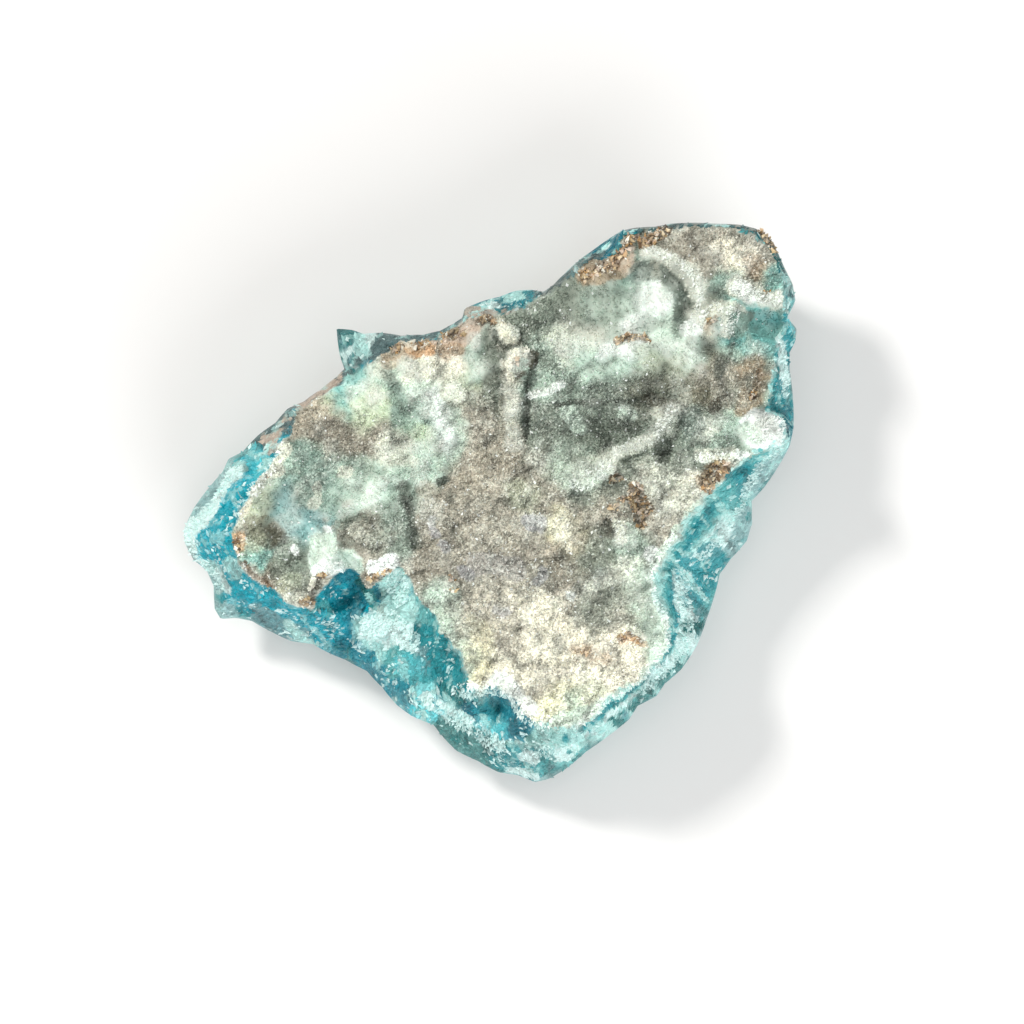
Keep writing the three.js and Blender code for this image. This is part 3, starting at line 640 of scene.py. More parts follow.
# Small marks on the skin, with broken edges.
skinMarks = [
    ("offWhite", 1.1, 1.0, [(284, 446), (276, 458), (272, 469)]),
    ("offWhite", 0.7, 0.9, [(238, 520), (241, 534)]),
    ("cream", 0.6, 0.8, [(242, 510), (249, 500)]),
    ("brown", 0.3, 0.9, [(245, 566), (252, 576), (262, 582), (274, 590)]),
    ("brown", 0.3, 0.8, [(280, 600), (288, 605)]),
    ("orange", 0.8, 0.8, [(237, 540), (240, 550)]),
    ("peach", 0.9, 0.7, [(300, 601), (311, 600)]),
    # Painted shade along the bite's upper edge.
    ("umberDarkAndShade", 0.3, 0.9, [(313, 606), (314, 592), (322, 582), (330, 577)]),
    ("cream", 0.3, 0.7, [(309, 594), (317, 582)]),
    ("orange", 1.2, 0.9, [(394, 352), (412, 346), (428, 345)]),
    ("cream", 0.7, 0.8, [(396, 346), (412, 342), (424, 342)]),
    ("peach", 0.8, 0.7, [(390, 358), (404, 354)]),
    ("pinkBeige", 1.4, 0.9, [(444, 336), (458, 334), (474, 324)]),
    ("tan", 1.0, 0.7, [(446, 350), (456, 346)]),
    ("ochre", 1.4, 0.5, [(722, 468), (712, 476), (706, 486)]),
    ("brown", 0.4, 0.7, [(758, 372), (757, 384), (756, 394)]),
    ("pinkBeige", 1.6, 0.8, [(630, 236), (640, 246), (622, 256)]),
    ("tan", 1.6, 0.7, [(594, 268), (612, 262)]),
    ("orange", 0.5, 0.5, [(620, 641), (628, 637), (640, 642)]),
    ("offWhite", 0.6, 0.7, [(316, 484), (320, 494), (314, 502)]),
    ("offWhite", 0.7, 0.8, [(340, 474), (346, 476)]),
    ("taupe", 2.4, 0.6, [(354, 520), (341, 530), (346, 550)]),
    ("offWhite", 1.0, 0.4, [(360, 530), (368, 544)]),
    ("shade", 1.2, 0.9, [(274, 536), (277, 545)]),
    ("olive", 1.8, 0.6, [(258, 528), (268, 536)]),
    ("yellowMint", 1.3, 0.4, [(290, 590), (300, 582)]),
    ("offWhite", 0.9, 0.9, [(291, 600), (300, 598)]),
    ("mintLight", 1.9, 1.0, [(328, 549), (330, 562)]),
    ("mintLight", 1.5, 1.0, [(336, 556), (352, 568)]),
    ("white", 1.1, 1.0, [(326, 571), (338, 569)]),
    ("seaGreen", 0.9, 0.6, [(344, 562), (354, 570)]),
    ("white", 1.1, 1.0, [(378, 570), (386, 568), (390, 564)]),
    ("shade", 0.6, 0.7, [(404, 488), (410, 500), (409, 512)]),
    ("shade", 0.5, 0.7, [(404, 500), (411, 518), (414, 532), (414, 548)]),
    ("taupeLight", 1.8, 0.7, [(424, 496), (432, 512)]),
    ("lavender", 0.6, 0.6, [(434, 524), (436, 536)]),
    ("lavender", 0.6, 0.6, [(445, 547), (449, 550)]),
    ("lavender", 0.7, 0.6, [(466, 574), (470, 578)]),
    ("lavender", 0.9, 0.7, [(530, 522), (542, 524)]),
    ("lavender", 0.7, 0.6, [(538, 580), (544, 572)]),
    ("lavender", 0.9, 0.5, [(496, 606), (506, 612)]),
    ("lavender", 1.3, 0.3, [(480, 566), (514, 568)]),
    ("shade", 0.6, 0.9, [(440, 482), (446, 480)]),
    ("offWhite", 1.2, 0.8, [(452, 392), (456, 396)]),
    # Round the knob: cream on its upper left is painted highlight and the dark crescent at its lower right
    # painted shadow. The dark lines down the stem's sides and under the cream ball are painted shade.
    ("cream", 0.9, 0.9, [(512, 362), (517, 354), (526, 353)]),
    ("cream", 0.8, 0.7, [(506, 370), (508, 378)]),
    ("umberDarkAndShade", 0.5, 0.9, [(534, 354), (534, 364), (529, 373), (519, 375)]),
    ("shade", 0.4, 0.7, [(532, 378), (529, 398), (530, 412), (525, 436)]),
    ("shade", 0.35, 0.6, [(505, 374), (503, 392), (506, 410)]),
    ("shade", 0.35, 0.8, [(497, 334), (500, 344), (509, 349), (520, 345)]),
    ("white", 0.45, 0.9, [(534, 397), (544, 394), (552, 388), (562, 386)]),
    # Painted shade in the groove inside the crust ridge: a slate-green band and a dark line.
    ("slateGreen", 1.5, 0.7, [(640, 272), (660, 268), (678, 277), (687, 292), (690, 318)]),
    ("shade", 0.5, 0.7, [(662, 264), (674, 268), (684, 278), (690, 292), (693, 306), (692, 320)]),
    ("offWhite", 0.9, 0.9, [(646, 252), (664, 256), (680, 265)]),
    ("offWhite", 1.1, 0.9, [(686, 270), (699, 283), (703, 300), (699, 314)]),
    ("white", 1.0, 0.8, [(690, 334), (698, 330)]),
    ("offWhite", 1.0, 0.9, [(734, 290), (748, 292), (762, 297), (779, 296)]),
    ("white", 0.8, 0.8, [(738, 289), (746, 292)]),
    ("offWhite", 1.0, 0.9, [(704, 318), (716, 306), (736, 312), (732, 332)]),
    ("shade", 0.9, 0.8, [(740, 318), (748, 314)]),
    ("seaGreen", 1.2, 0.9, [(740, 322), (742, 332)]),
    ("shade", 0.9, 0.4, [(696, 346), (716, 348)]),
    ("shade", 0.9, 0.7, [(734, 354), (726, 364), (722, 372)]),
    # Painted shade in the crevice by the eastern basin.
    ("umberDarkAndShade", 0.8, 0.7, [(650, 398), (662, 404), (678, 408)]),
    ("olive", 0.9, 0.6, [(684, 398), (700, 396)]),
    ("shade", 0.3, 0.9, [(560, 404), (578, 399), (600, 402), (618, 397), (640, 399)]),
    ("mintLight", 1.1, 0.6, [(572, 414), (580, 424)]),
    ("mintLight", 0.9, 0.6, [(622, 410), (632, 414)]),
    ("offWhite", 0.8, 0.7, [(656, 410), (664, 416), (676, 412)]),
    ("shade", 0.9, 0.7, [(590, 420), (598, 430), (606, 444)]),
    ("shade", 0.7, 0.7, [(612, 424), (622, 420), (634, 426)]),
    ("shade", 1.0, 0.6, [(658, 442), (664, 448), (664, 458)]),
    ("umberDarkAndShade", 0.7, 0.8, [(712, 404), (718, 402)]),
    ("slateGreen", 1.3, 0.7, [(690, 418), (698, 428)]),
    ("offWhite", 1.0, 0.8, [(700, 456), (716, 459), (736, 455)]),
    ("white", 0.6, 0.8, [(740, 460), (746, 458)]),
    ("white", 2.2, 1.0, [(762, 428), (774, 426)]),
    ("white", 1.5, 1.0, [(758, 434), (776, 434), (770, 420)]),
    ("mintLight", 1.1, 0.9, [(748, 430), (754, 434)]),
    # Painted shade in the nook.
    ("umberDarkAndShade", 0.8, 0.7, [(606, 524), (610, 534), (608, 542)]),
    ("offWhite", 0.8, 1.0, [(618, 528), (620, 540)]),
    ("white", 0.5, 0.8, [(569, 594), (572, 595)]),
    ("white", 0.5, 0.8, [(294, 553), (295, 554)]),
    ("white", 0.4, 0.8, [(331, 528), (332, 529)]),
    ("white", 1.0, 0.9, [(654, 556), (658, 560)]),
    ("white", 1.3, 0.9, [(502, 684), (516, 690)]),
    ("white", 1.0, 0.9, [(466, 694), (474, 690)]),
    ("white", 0.9, 0.8, [(526, 700), (532, 706)]),
    ("offWhite", 0.5, 0.9, [(628, 629), (638, 634)]),
    ("mintLight", 1.0, 0.8, [(712, 490), (686, 528), (664, 560), (655, 590), (662, 630), (652, 668),
                             (620, 694), (596, 716), (560, 726)]),
]

# Rusty crystals: half width, how densely they grow, path.
rustMarks = [
    (0.6, 1.0, [(588, 274), (600, 267), (612, 262)]),
    (0.5, 0.9, [(612, 260), (620, 252), (627, 247)]),
    (0.7, 1.0, [(644, 242), (654, 236), (666, 230)]),
    (0.6, 0.5, [(626, 238), (636, 240)]),
    (0.9, 1.1, [(636, 490), (641, 502), (648, 509)]),
    (0.6, 1.1, [(641, 514), (640, 526)]),
    (0.4, 0.9, [(612, 507), (620, 508)]),
    (0.5, 0.6, [(610, 480), (618, 478)]),
    (0.4, 0.7, [(624, 500), (632, 498)]),
    (0.9, 0.8, [(719, 470), (711, 475), (706, 486)]),
    (0.5, 0.6, [(758, 372), (759, 384), (754, 394)]),
    (0.4, 1.0, [(618, 341), (634, 338), (648, 340)]),
    (0.4, 0.8, [(711, 323), (718, 319)]),
    (0.4, 0.6, [(516, 364), (520, 365)]),
    (0.6, 0.5, [(394, 350), (412, 346), (428, 344)]),
    (0.6, 0.5, [(444, 336), (466, 328)]),
    (0.5, 0.8, [(480, 322), (494, 323)]),
    (0.45, 1.0, [(237, 543), (239, 549)]),
    (0.4, 1.0, [(303, 603), (313, 604)]),
    (0.4, 0.8, [(321, 579), (327, 577)]),
    (0.4, 0.9, [(370, 580), (376, 580)]),
    (0.35, 0.9, [(385, 576), (389, 572)]),
    (0.6, 0.45, [(455, 578), (456, 590)]),
    (0.4, 0.7, [(620, 640), (628, 636), (638, 640)]),
    (0.4, 0.55, [(584, 653), (590, 650)]),
    (0.4, 0.5, [(262, 482), (268, 474)]),
    (0.5, 0.7, [(760, 233), (768, 240), (772, 248)]),
    (0.4, 0.5, [(762, 288), (768, 290)]),
]

# Marks on the bare slope round the skin.
slopeMarks = [
    ("blue", 3.4, 0.8, [(330, 632), (372, 650), (384, 676)]),
    ("turquoise", 2.6, 1.0, [(252, 482), (236, 505), (224, 530), (212, 548)]),
    ("turquoise", 2.4, 1.0, [(218, 556), (230, 562), (226, 540)]),
    ("turquoise", 2.2, 1.0, [(236, 582), (262, 596), (290, 616), (322, 630)]),
    ("turquoise", 1.6, 0.8, [(250, 600), (276, 622), (306, 634)]),
    ("teal", 2.2, 0.9, [(470, 308), (505, 304), (532, 298)]),
    ("deep", 1.0, 0.6, [(486, 308), (500, 304), (526, 300), (540, 298)]),
    ("greyTeal", 3.4, 1.0, [(344, 340), (362, 352), (400, 342), (430, 336)]),
    ("darkTeal", 1.6, 0.8, [(338, 336), (345, 352), (350, 368)]),
    ("rimGrey", 1.4, 0.9, [(362, 360), (384, 346), (400, 342), (430, 338), (458, 326)]),
    ("rimGrey", 2.0, 1.0, [(254, 444), (276, 424), (300, 406), (330, 384), (348, 372)]),
    ("pinkBeige", 0.6, 0.8, [(264, 442), (280, 436), (290, 420), (304, 406), (326, 392), (340, 378)]),
    ("pinkBeige", 0.7, 0.8, [(266, 450), (276, 446)]),
    ("pinkBeige", 0.6, 0.8, [(468, 314), (490, 318), (520, 314), (540, 304), (560, 290), (584, 268)]),
    ("pinkBeige", 0.8, 0.9, [(628, 234), (628, 244)]),
    ("deep", 1.6, 1.0, [(602, 254), (614, 246), (621, 237)]),
    ("rimGrey", 0.9, 0.9, [(540, 296), (556, 290), (576, 272), (596, 254)]),
    ("rimDark", 0.8, 0.9, [(630, 229), (664, 227), (700, 225), (740, 227), (757, 231)]),
    ("rimDark", 0.7, 0.9, [(757, 231), (769, 240), (778, 256), (786, 274), (792, 290)]),
    ("darkTeal", 1.0, 1.0, [(772, 244), (780, 262), (786, 278)]),
    ("darkTeal", 1.3, 0.8, [(786, 292), (792, 300)]),
    ("iceWhite", 0.5, 0.9, [(793, 312), (788, 320), (786, 328)]),
    ("sky", 1.3, 0.8, [(780, 284), (776, 300)]),
    ("cyan", 1.2, 0.9, [(790, 328), (795, 338)]),
    ("teal", 1.4, 0.9, [(789, 350), (788, 368)]),
    ("iceWhite", 0.6, 0.9, [(779, 346), (781, 372), (783, 392), (782, 404)]),
    ("teal", 1.2, 0.9, [(774, 394), (772, 410)]),
    ("teal", 1.5, 1.0, [(788, 402), (787, 424), (784, 448)]),
    ("deep", 0.7, 0.6, [(788, 412), (786, 440)]),
    ("sky", 0.9, 0.9, [(780, 440), (764, 468), (742, 500), (732, 526)]),
    ("midTeal", 1.1, 0.9, [(756, 462), (764, 450)]),
    ("teal", 0.9, 0.9, [(728, 482), (738, 478), (746, 472)]),
    ("teal", 1.2, 0.9, [(742, 496), (752, 488), (766, 470)]),
    ("midTeal", 1.2, 0.9, [(714, 502), (726, 494)]),
    ("midTeal", 1.4, 0.9, [(738, 508), (728, 530), (722, 544)]),
    ("glass", 1.4, 0.9, [(776, 462), (758, 494), (748, 520), (738, 546)]),
    ("teal", 1.1, 1.0, [(588, 730), (566, 733), (548, 732)]),
    ("blue", 0.8, 0.8, [(541, 732), (548, 733)]),
    ("sky", 1.0, 0.8, [(728, 520), (722, 540), (700, 556), (682, 572)]),
    ("iceWhite", 1.2, 1.0, [(684, 576), (682, 590), (686, 604), (687, 620)]),
    ("iceWhite", 0.8, 0.9, [(728, 524), (724, 542), (700, 558)]),
    ("iceWhite", 0.8, 0.9, [(692, 560), (704, 556)]),
    ("sky", 0.9, 0.7, [(684, 628), (680, 654), (664, 672), (642, 694), (620, 714), (596, 736)]),
    ("iceWhite", 1.3, 0.9, [(684, 640), (692, 644)]),
    ("iceWhite", 0.8, 0.8, [(672, 658), (660, 668), (646, 684)]),
    ("iceWhite", 0.9, 0.8, [(626, 708), (612, 716), (598, 732)]),
    ("midTeal", 1.9, 0.9, [(692, 570), (704, 582), (698, 592)]),
    ("turquoise", 1.7, 0.45, [(692, 570), (704, 582), (698, 592)]),
    ("teal", 1.5, 0.9, [(710, 556), (716, 564), (708, 580)]),
    ("darkTeal", 1.0, 1.0, [(688, 628), (700, 630)]),
    ("darkTeal", 1.1, 0.9, [(680, 662), (672, 672)]),
    ("darkTeal", 1.1, 0.8, [(660, 684), (644, 696)]),
    ("darkTeal", 1.2, 1.0, [(634, 712), (618, 724)]),
    ("sky", 1.2, 1.0, [(596, 734), (612, 731)]),
    ("midTeal", 1.2, 0.8, [(580, 748), (566, 764)]),
    ("sky", 3.2, 0.9, [(380, 612), (400, 640), (404, 612)]),
    ("sky", 2.6, 0.9, [(412, 690), (440, 716), (480, 738), (530, 744), (570, 746)]),
    ("aqua", 2.0, 0.6, [(500, 744), (550, 746)]),
    ("iceWhite", 1.8, 0.9, [(374, 624), (386, 620), (392, 636)]),
    ("iceWhite", 1.6, 0.9, [(404, 584), (396, 592)]),
    ("iceWhite", 1.7, 0.9, [(406, 640), (414, 634)]),
    ("seaGreen", 1.6, 0.7, [(384, 596), (394, 606)]),
    ("midTeal", 1.6, 0.8, [(424, 606), (432, 624)]),
    ("teal", 1.4, 1.0, [(424, 634), (436, 644), (440, 640)]),
    ("darkTeal", 1.3, 1.0, [(404, 656), (418, 660), (426, 672)]),
    ("greyTeal", 1.2, 0.8, [(430, 664), (426, 654)]),
    ("midTeal", 1.6, 0.9, [(398, 664), (404, 680)]),
    ("cyan", 1.6, 0.6, [(412, 668), (420, 684)]),
    ("teal", 1.9, 1.0, [(444, 656), (452, 676), (458, 690)]),
    ("darkTeal", 1.0, 0.8, [(452, 684), (460, 696)]),
    ("iceWhite", 1.0, 0.9, [(430, 700), (444, 708), (456, 716)]),
    ("iceWhite", 1.1, 0.9, [(464, 716), (476, 726)]),
    ("iceWhite", 1.0, 0.9, [(490, 740), (498, 746)]),
    ("deep", 0.7, 1.0, [(470, 706), (474, 710)]),
    ("blue", 2.3, 0.85, [(490, 706), (504, 712), (514, 720)]),
    ("teal", 1.9, 0.5, [(492, 706), (506, 712)]),
    ("blue", 1.2, 0.6, [(500, 702), (512, 706)]),
    ("cyan", 1.2, 0.8, [(486, 728), (504, 732)]),
    ("blue", 1.7, 0.8, [(402, 696), (408, 710)]),
    ("cyan", 1.4, 0.9, [(420, 712), (436, 718)]),
    ("darkTeal", 2.4, 0.8, [(452, 740), (470, 748), (490, 758)]),
    ("teal", 2.4, 0.8, [(510, 764), (534, 768)]),
    ("midTeal", 1.4, 0.7, [(550, 764), (560, 760)]),
    ("iceWhite", 0.8, 0.9, [(524, 756), (534, 760)]),
    ("iceWhite", 0.9, 0.9, [(562, 756), (574, 750)]),
    ("iceWhite", 0.4, 0.9, [(508, 772), (538, 780)]),
    ("deep", 2.4, 1.0, [(340, 592), (352, 586), (362, 598)]),
    ("blue", 2.0, 0.6, [(342, 594), (352, 590), (360, 600)]),
    ("deep", 1.2, 0.7, [(346, 610), (356, 606)]),
    ("blue", 1.2, 0.8, [(330, 588), (334, 600)]),
    ("sky", 1.7, 1.0, [(392, 570), (398, 588), (404, 608)]),
    ("turquoise", 1.2, 0.6, [(330, 598), (336, 612)]),
    ("darkTeal", 0.7, 0.9, [(362, 584), (370, 594), (375, 606)]),
    ("midTeal", 1.0, 0.8, [(320, 610), (332, 620)]),
    ("sky", 0.8, 0.9, [(240, 468), (222, 492), (204, 514)]),
    ("iceWhite", 0.8, 1.0, [(238, 472), (226, 488), (212, 506), (200, 522), (192, 536)]),
    ("glass", 1.0, 0.9, [(226, 464), (206, 492), (195, 510)]),
    ("iceWhite", 0.9, 1.0, [(194, 524), (188, 536), (190, 546)]),
    ("iceWhite", 0.5, 1.0, [(186, 545), (194, 556), (206, 566)]),
    ("sky", 0.9, 0.9, [(210, 568), (216, 576), (222, 588)]),
    ("iceWhite", 0.5, 0.9, [(212, 568), (220, 578), (230, 592)]),
    ("glass", 0.9, 0.9, [(212, 584), (217, 602), (228, 613)]),
    ("sky", 0.8, 0.8, [(232, 566), (242, 572), (238, 580)]),
    ("cyan", 1.3, 0.7, [(256, 458), (262, 470)]),
    ("sky", 1.2, 0.9, [(268, 454), (262, 462)]),
    ("greyTeal", 1.7, 0.9, [(258, 622), (282, 632), (300, 640)]),
    ("sky", 0.7, 0.9, [(288, 622), (300, 636), (314, 642)]),
    ("iceWhite", 0.8, 0.8, [(366, 336), (364, 346), (370, 340)]),
    ("iceWhite", 0.7, 0.9, [(342, 359), (350, 354)]),
    ("sky", 0.7, 0.8, [(358, 340), (362, 352)]),
    ("iceWhite", 0.5, 0.9, [(492, 310), (498, 308)]),
    ("sky", 0.5, 0.9, [(504, 300), (520, 297)]),
]

# Where some crystals are white: half width, how many, path.
whiteMarks = [
    (3.4, 0.9, [(244, 476), (216, 530), (222, 566), (250, 596), (300, 630), (350, 650)]),
    (3.0, 0.7, [(392, 690), (430, 716)]),
    (2.6, 0.7, [(440, 660), (462, 700)]),
    (2.6, 0.4, [(500, 712), (516, 720)]),
    (3.0, 0.8, [(500, 762), (540, 768)]),
    (2.2, 0.6, [(696, 570), (706, 600), (694, 640)]),
    (2.0, 0.4, [(340, 344), (360, 356)]),
    (1.6, 0.5, [(480, 306), (520, 300)]),
    (2.4, 0.5, [(336, 602), (352, 612)]),
    (3.0, 0.25, [(560, 380), (620, 372), (668, 384)]),
    (3.0, 0.2, [(620, 430), (660, 440)]),
    (2.6, 0.3, [(282, 520), (310, 530)]),
    (4.0, 0.3, [(440, 540), (560, 580)]),
]

# Where frosty white crystals crowd, on the skin and on the slope: half width, how densely, path.
frostMarks = {
    13.0: [
        (0.5, 0.9, [(670, 409), (662, 420), (654, 432)]),
        (0.35, 0.6, [(636, 441), (624, 445), (612, 452), (607, 470)]),
        (0.8, 0.9, [(606, 468), (592, 478), (576, 484)]),
        (0.35, 0.7, [(646, 250), (664, 255), (680, 264), (695, 278), (702, 298), (698, 316), (692, 334)]),
        (0.6, 0.9, [(734, 290), (748, 292), (762, 297), (779, 296)]),
        (0.5, 0.8, [(704, 318), (716, 306), (736, 312), (732, 332)]),
        (0.35, 1.0, [(534, 397), (544, 394), (552, 388), (562, 386)]),
        (0.5, 1.0, [(697, 459), (716, 458), (737, 454)]),
        (1.6, 0.8, [(762, 428), (774, 426)]),
        (0.5, 0.9, [(618, 528), (620, 542)]),
        (0.7, 1.0, [(326, 571), (342, 568)]),
        (0.6, 1.0, [(378, 570), (390, 564)]),
        (0.9, 1.0, [(462, 690), (480, 692), (500, 688), (516, 694), (526, 712), (546, 724)]),
        (0.4, 0.8, [(676, 534), (662, 555), (652, 578), (654, 598), (664, 622), (666, 643), (653, 666),
                    (634, 684), (606, 700), (592, 716), (572, 727)]),
        (0.5, 0.9, [(284, 446), (276, 458), (268, 472), (252, 492)]),
    ],
    9.0: [
        (0.55, 1.0, [(240, 470), (224, 490), (206, 512), (192, 530)]),
        (0.5, 1.0, [(192, 528), (187, 542), (194, 556), (206, 568)]),
        (0.4, 0.9, [(210, 568), (222, 590)]),
        (1.5, 0.8, [(374, 624), (392, 620), (410, 640)]),
        (0.5, 0.9, [(776, 446), (762, 466), (744, 496), (736, 516)]),
        (1.2, 0.9, [(398, 580), (404, 596)]),
        (1.0, 0.9, [(430, 700), (456, 716), (476, 728), (500, 744)]),
        (0.7, 0.8, [(540, 752), (574, 748)]),
        (0.8, 1.0, [(684, 574), (680, 592), (686, 606), (687, 624)]),
        (0.5, 0.9, [(728, 520), (722, 540), (700, 556)]),
        (0.7, 0.9, [(684, 638), (680, 652), (660, 670), (642, 690)]),
        (0.4, 0.9, [(779, 346), (782, 374), (783, 396)]),
    ],
}

hueRGB = {name: np.array(value[:3]) for name, value in hues.items()}

# How a mark's straight outline is made to wander: wavelength and reach in millimetres.
wander = {"long": (2.6, 1.5), "short": (0.8, 0.7)}


def wandered(x, y, share=1.0):
    offX = np.zeros_like(x)
    offY = np.zeros_like(x)
    for salt, (wavelength, reach) in enumerate(wander.values()):
        offX = offX + reach * share * (softNoise(x / wavelength, y / wavelength, 21 + salt) - 0.5)
        offY = offY + reach * share * (softNoise(x / wavelength, y / wavelength, 31 + salt) - 0.5)
    return x + offX, y + offY


# Blotches at several sizes at once, about -0.5 to 0.5: finer noise counts for less.
def blotches(x, y, salt, wavelengths=(2.2, 1.1, 0.55, 0.28)):
    total = np.zeros_like(x)
    weight = 1.0
    for step, wavelength in enumerate(wavelengths):
        turn = 0.7 * step
        u = x * math.cos(turn) - y * math.sin(turn)
        v = x * math.sin(turn) + y * math.cos(turn)
        total = total + weight * (softNoise(u / wavelength, v / wavelength, salt + step) - 0.5)
        weight = weight * 0.75
    return total * 0.62


# The strength of one mark at each place, and which places it may reach.
def markStrength(x, y, width, path, height):
    pathX, pathY = placed(path, height)
    near = np.flatnonzero(
        (x > pathX.min() - width) & (x < pathX.max() + width)
        & (y > pathY.min() - width) & (y < pathY.max() + width)
    )
    return near, hump(distanceToPath(x[near], y[near], pathX, pathY) / width)


# The strengths between which a mark goes from nothing to full.
markEdges = {"ragged": (0.16, 0.42), "soft": (0.0, 0.9)}


# Lays marks over colours in turn; ragged ones are broken up by blotches, soft ones fade out.
def layMarks(colours, x, y, marks, height, ragged, salt, wandering=1.0, fibres=None):
    x2, y2 = wandered(x, y, wandering)
    low, high = markEdges["ragged" if ragged > 0.7 else "soft"]
    for turn, (hue, width, strength, path) in enumerate(marks):
        near, share = markStrength(x2, y2, width, path, height)
        rough = blotches(x[near], y[near], salt + turn % 7)
        if fibres is not None:
            rough = rough + fibres[near]
        share = share * (1 + 2 * ragged * rough)
        weight = (strength * smooth(share, low, high))[:, None]
        colours[near] += (hueRGB[hue] - colours[near]) * np.minimum(weight, 1)


def amountOf(x, y, marks, height):
    x2, y2 = wandered(x, y, 0.35)
    amount = np.zeros_like(x)
    for width, strength, path in marks:
        near, share = markStrength(x2, y2, width, path, height)
        amount[near] = np.maximum(amount[near], strength * np.minimum(1, share * 1.6))
    return amount


patches = {"lighter": 0.3, "darker": 0.34}


# The skin's colours: two taupes in large blotches, the washes and marks, then small patches.
def skinTone(x, y):
    slow = smooth(blotches(x, y, 50, (6.0, 3.0, 1.5, 0.7)), -0.3, 0.3)[:, None]
    colours = hueRGB["taupe"] * (1 - slow) + hueRGB["taupeLight"] * slow
    layMarks(colours, x, y, skinWashes, stone["skinHeight"], 0.6, 60)
    layMarks(colours, x, y, skinMarks, stone["skinHeight"], 1.2, 70, 0.5)
    patchy = blotches(x, y, 80, (1.5, 0.8, 0.4))
    lighter = (patches["lighter"] * smooth(patchy, 0.05, 0.4))[:, None]
    darker = (patches["darker"] * smooth(-patchy, 0.05, 0.4))[:, None]
    colours = colours + (hueRGB["paleAndHighlight"] - colours) * lighter
    return colours + (hueRGB["shade"] - colours) * darker


# The bare layers' colours by their place from the skin's edge (0) to the outline (1) and down the
# wall (past 1): broad turquoise in the west, thin bands in the east.
layers = {
    "west": [
        (0.0, "turquoise"), (0.6, "turquoise"), (0.74, "teal"), (0.86, "midTeal"), (1.0, "glass"),
        (1.12, "midTeal"), (1.3, "teal"), (1.45, "sky"), (1.6, "midTeal"), (1.85, "greyTeal"),
        (2.0, "sky"), (2.15, "teal"), (2.4, "greyTeal"), (2.6, "glass"), (2.8, "umber"), (3.1, "matrix"),
    ],
    "east": [
        (0.0, "mintLight"), (0.1, "sky"), (0.17, "midTeal"), (0.24, "teal"), (0.31, "teal"),
        (0.37, "midTeal"), (0.44, "sky"), (0.51, "iceWhite"), (0.58, "sky"), (0.68, "midTeal"),
        (0.78, "greyTeal"), (0.88, "midTeal"), (1.0, "glass"), (1.12, "midTeal"), (1.3, "teal"),
        (1.45, "iceWhite"), (1.6, "midTeal"),
        (1.85, "greyTeal"), (2.0, "sky"), (2.15, "teal"), (2.4, "greyTeal"), (2.6, "glass"),
        (2.8, "umber"), (3.1, "matrix"),
    ],
}


def layerColours(name, at):
    places = [place for place, hue in layers[name]]
    return np.stack([
        np.interp(at, places, [hueRGB[hue][channel] for place, hue in layers[name]]) for channel in range(3)
    ], axis=1)


slopePaint = {
    "fibres": ((150, 0.5), (290, 0.35), (520, 0.3)),
    "bright": (0.5, 0.3),    # how strong the bright streaks are, and how much stronger in the east
    "dark": 0.42,            # how much darker the gaps between them are
    "fade": (2.3, 2.7),      # where on the wall the bright streaks end
}


# The blue layers' colours: bands by depth, the marks over them, then bright and dark streaks. On the
# wall the noise is read from the height too, so that it isn't drawn out downward.
def slopeTone(x, y, z, depth):
    u = x + 0.5 * z
    v = y - 0.6 * z
    bearing = np.arctan2(y, x)
    fibres = 0.0
    for count, weight in slopePaint["fibres"]:
        fibres = fibres + weight * (ringNoise(bearing, depth * 5.0, count, 90) - 0.5)
    down = smooth(depth, 1.0, 1.1)
    onWall = 0.8 * (blotches(x, 1.7 * z, 96) + blotches(y + 60, 1.7 * z, 98))
    rough = blotches(u, v, 96) * (1 - down) + onWall * down
    at = depth + (0.16 + 0.2 * down) * rough + 0.1 * fibres
    west = layerColours("west", at)
    colours = west + (layerColours("east", at) - west) * eastShare(x)[:, None]
    plain = colours.copy()
    layMarks(colours, x, y, slopeMarks, 9.0, 1.2, 100, 0.4, fibres)
    colours = colours + (plain - colours) * down[:, None]
    streaks = blotches(u, v, 110, (1.2, 0.6, 0.3)) * (1 - down) + onWall * down + 0.6 * fibres
    strength, eastern = slopePaint["bright"]
    bright = (strength + eastern * eastShare(x)) * smooth(streaks + 0.06 * eastShare(x), 0.22, 0.33)
    bright = (bright * (1 - 0.9 * smooth(depth, *slopePaint["fade"])))[:, None]
    colours = colours + (hueRGB["sky"] - colours) * bright
    return colours * (1 - slopePaint["dark"] * smooth(-streaks, 0.06, 0.36))[:, None]


# Where the crust is satin: mint, ice and the pool, which hide the grain.
satinMarks = [
    (4.0, 0.6, [(410, 376), (426, 400), (430, 436), (418, 470)]),
    (3.0, 0.9, [(346, 392), (366, 382), (388, 400)]),
    (3.0, 0.9, [(350, 500), (386, 484)]),
    (3.2, 0.9, [(278, 510), (318, 526)]),
    (6.5, 1.0, [(610, 300), (650, 300), (680, 330)]),
    (3.0, 0.9, [(592, 350), (690, 352)]),
    (2.6, 1.0, [(480, 340), (476, 372)]),
    (2.6, 0.9, [(325, 552), (345, 565)]),
    (3.0, 1.0, [(756, 320), (776, 326)]),
    (2.6, 1.0, [(765, 428), (752, 432)]),
    (2.4, 0.6, [(650, 590), (656, 650)]),
]


def satinAt(x, y):
    return np.clip(amountOf(x, y, satinMarks, stone["skinHeight"]), 0, 1)


# How far the relief stands above its surroundings, -1 in a hollow to 1 on a crest.
def standing(x, y):
    here = skinRelief(x, y)
    total = np.zeros_like(x)
    for reach in (0.8, 1.7):
        for turn in np.arange(5) * 2 * math.pi / 5 + reach:
            total = total + skinRelief(x + reach * math.cos(turn), y + reach * math.sin(turn))
    return np.clip((here - total / 10) / 0.35, -1, 1)


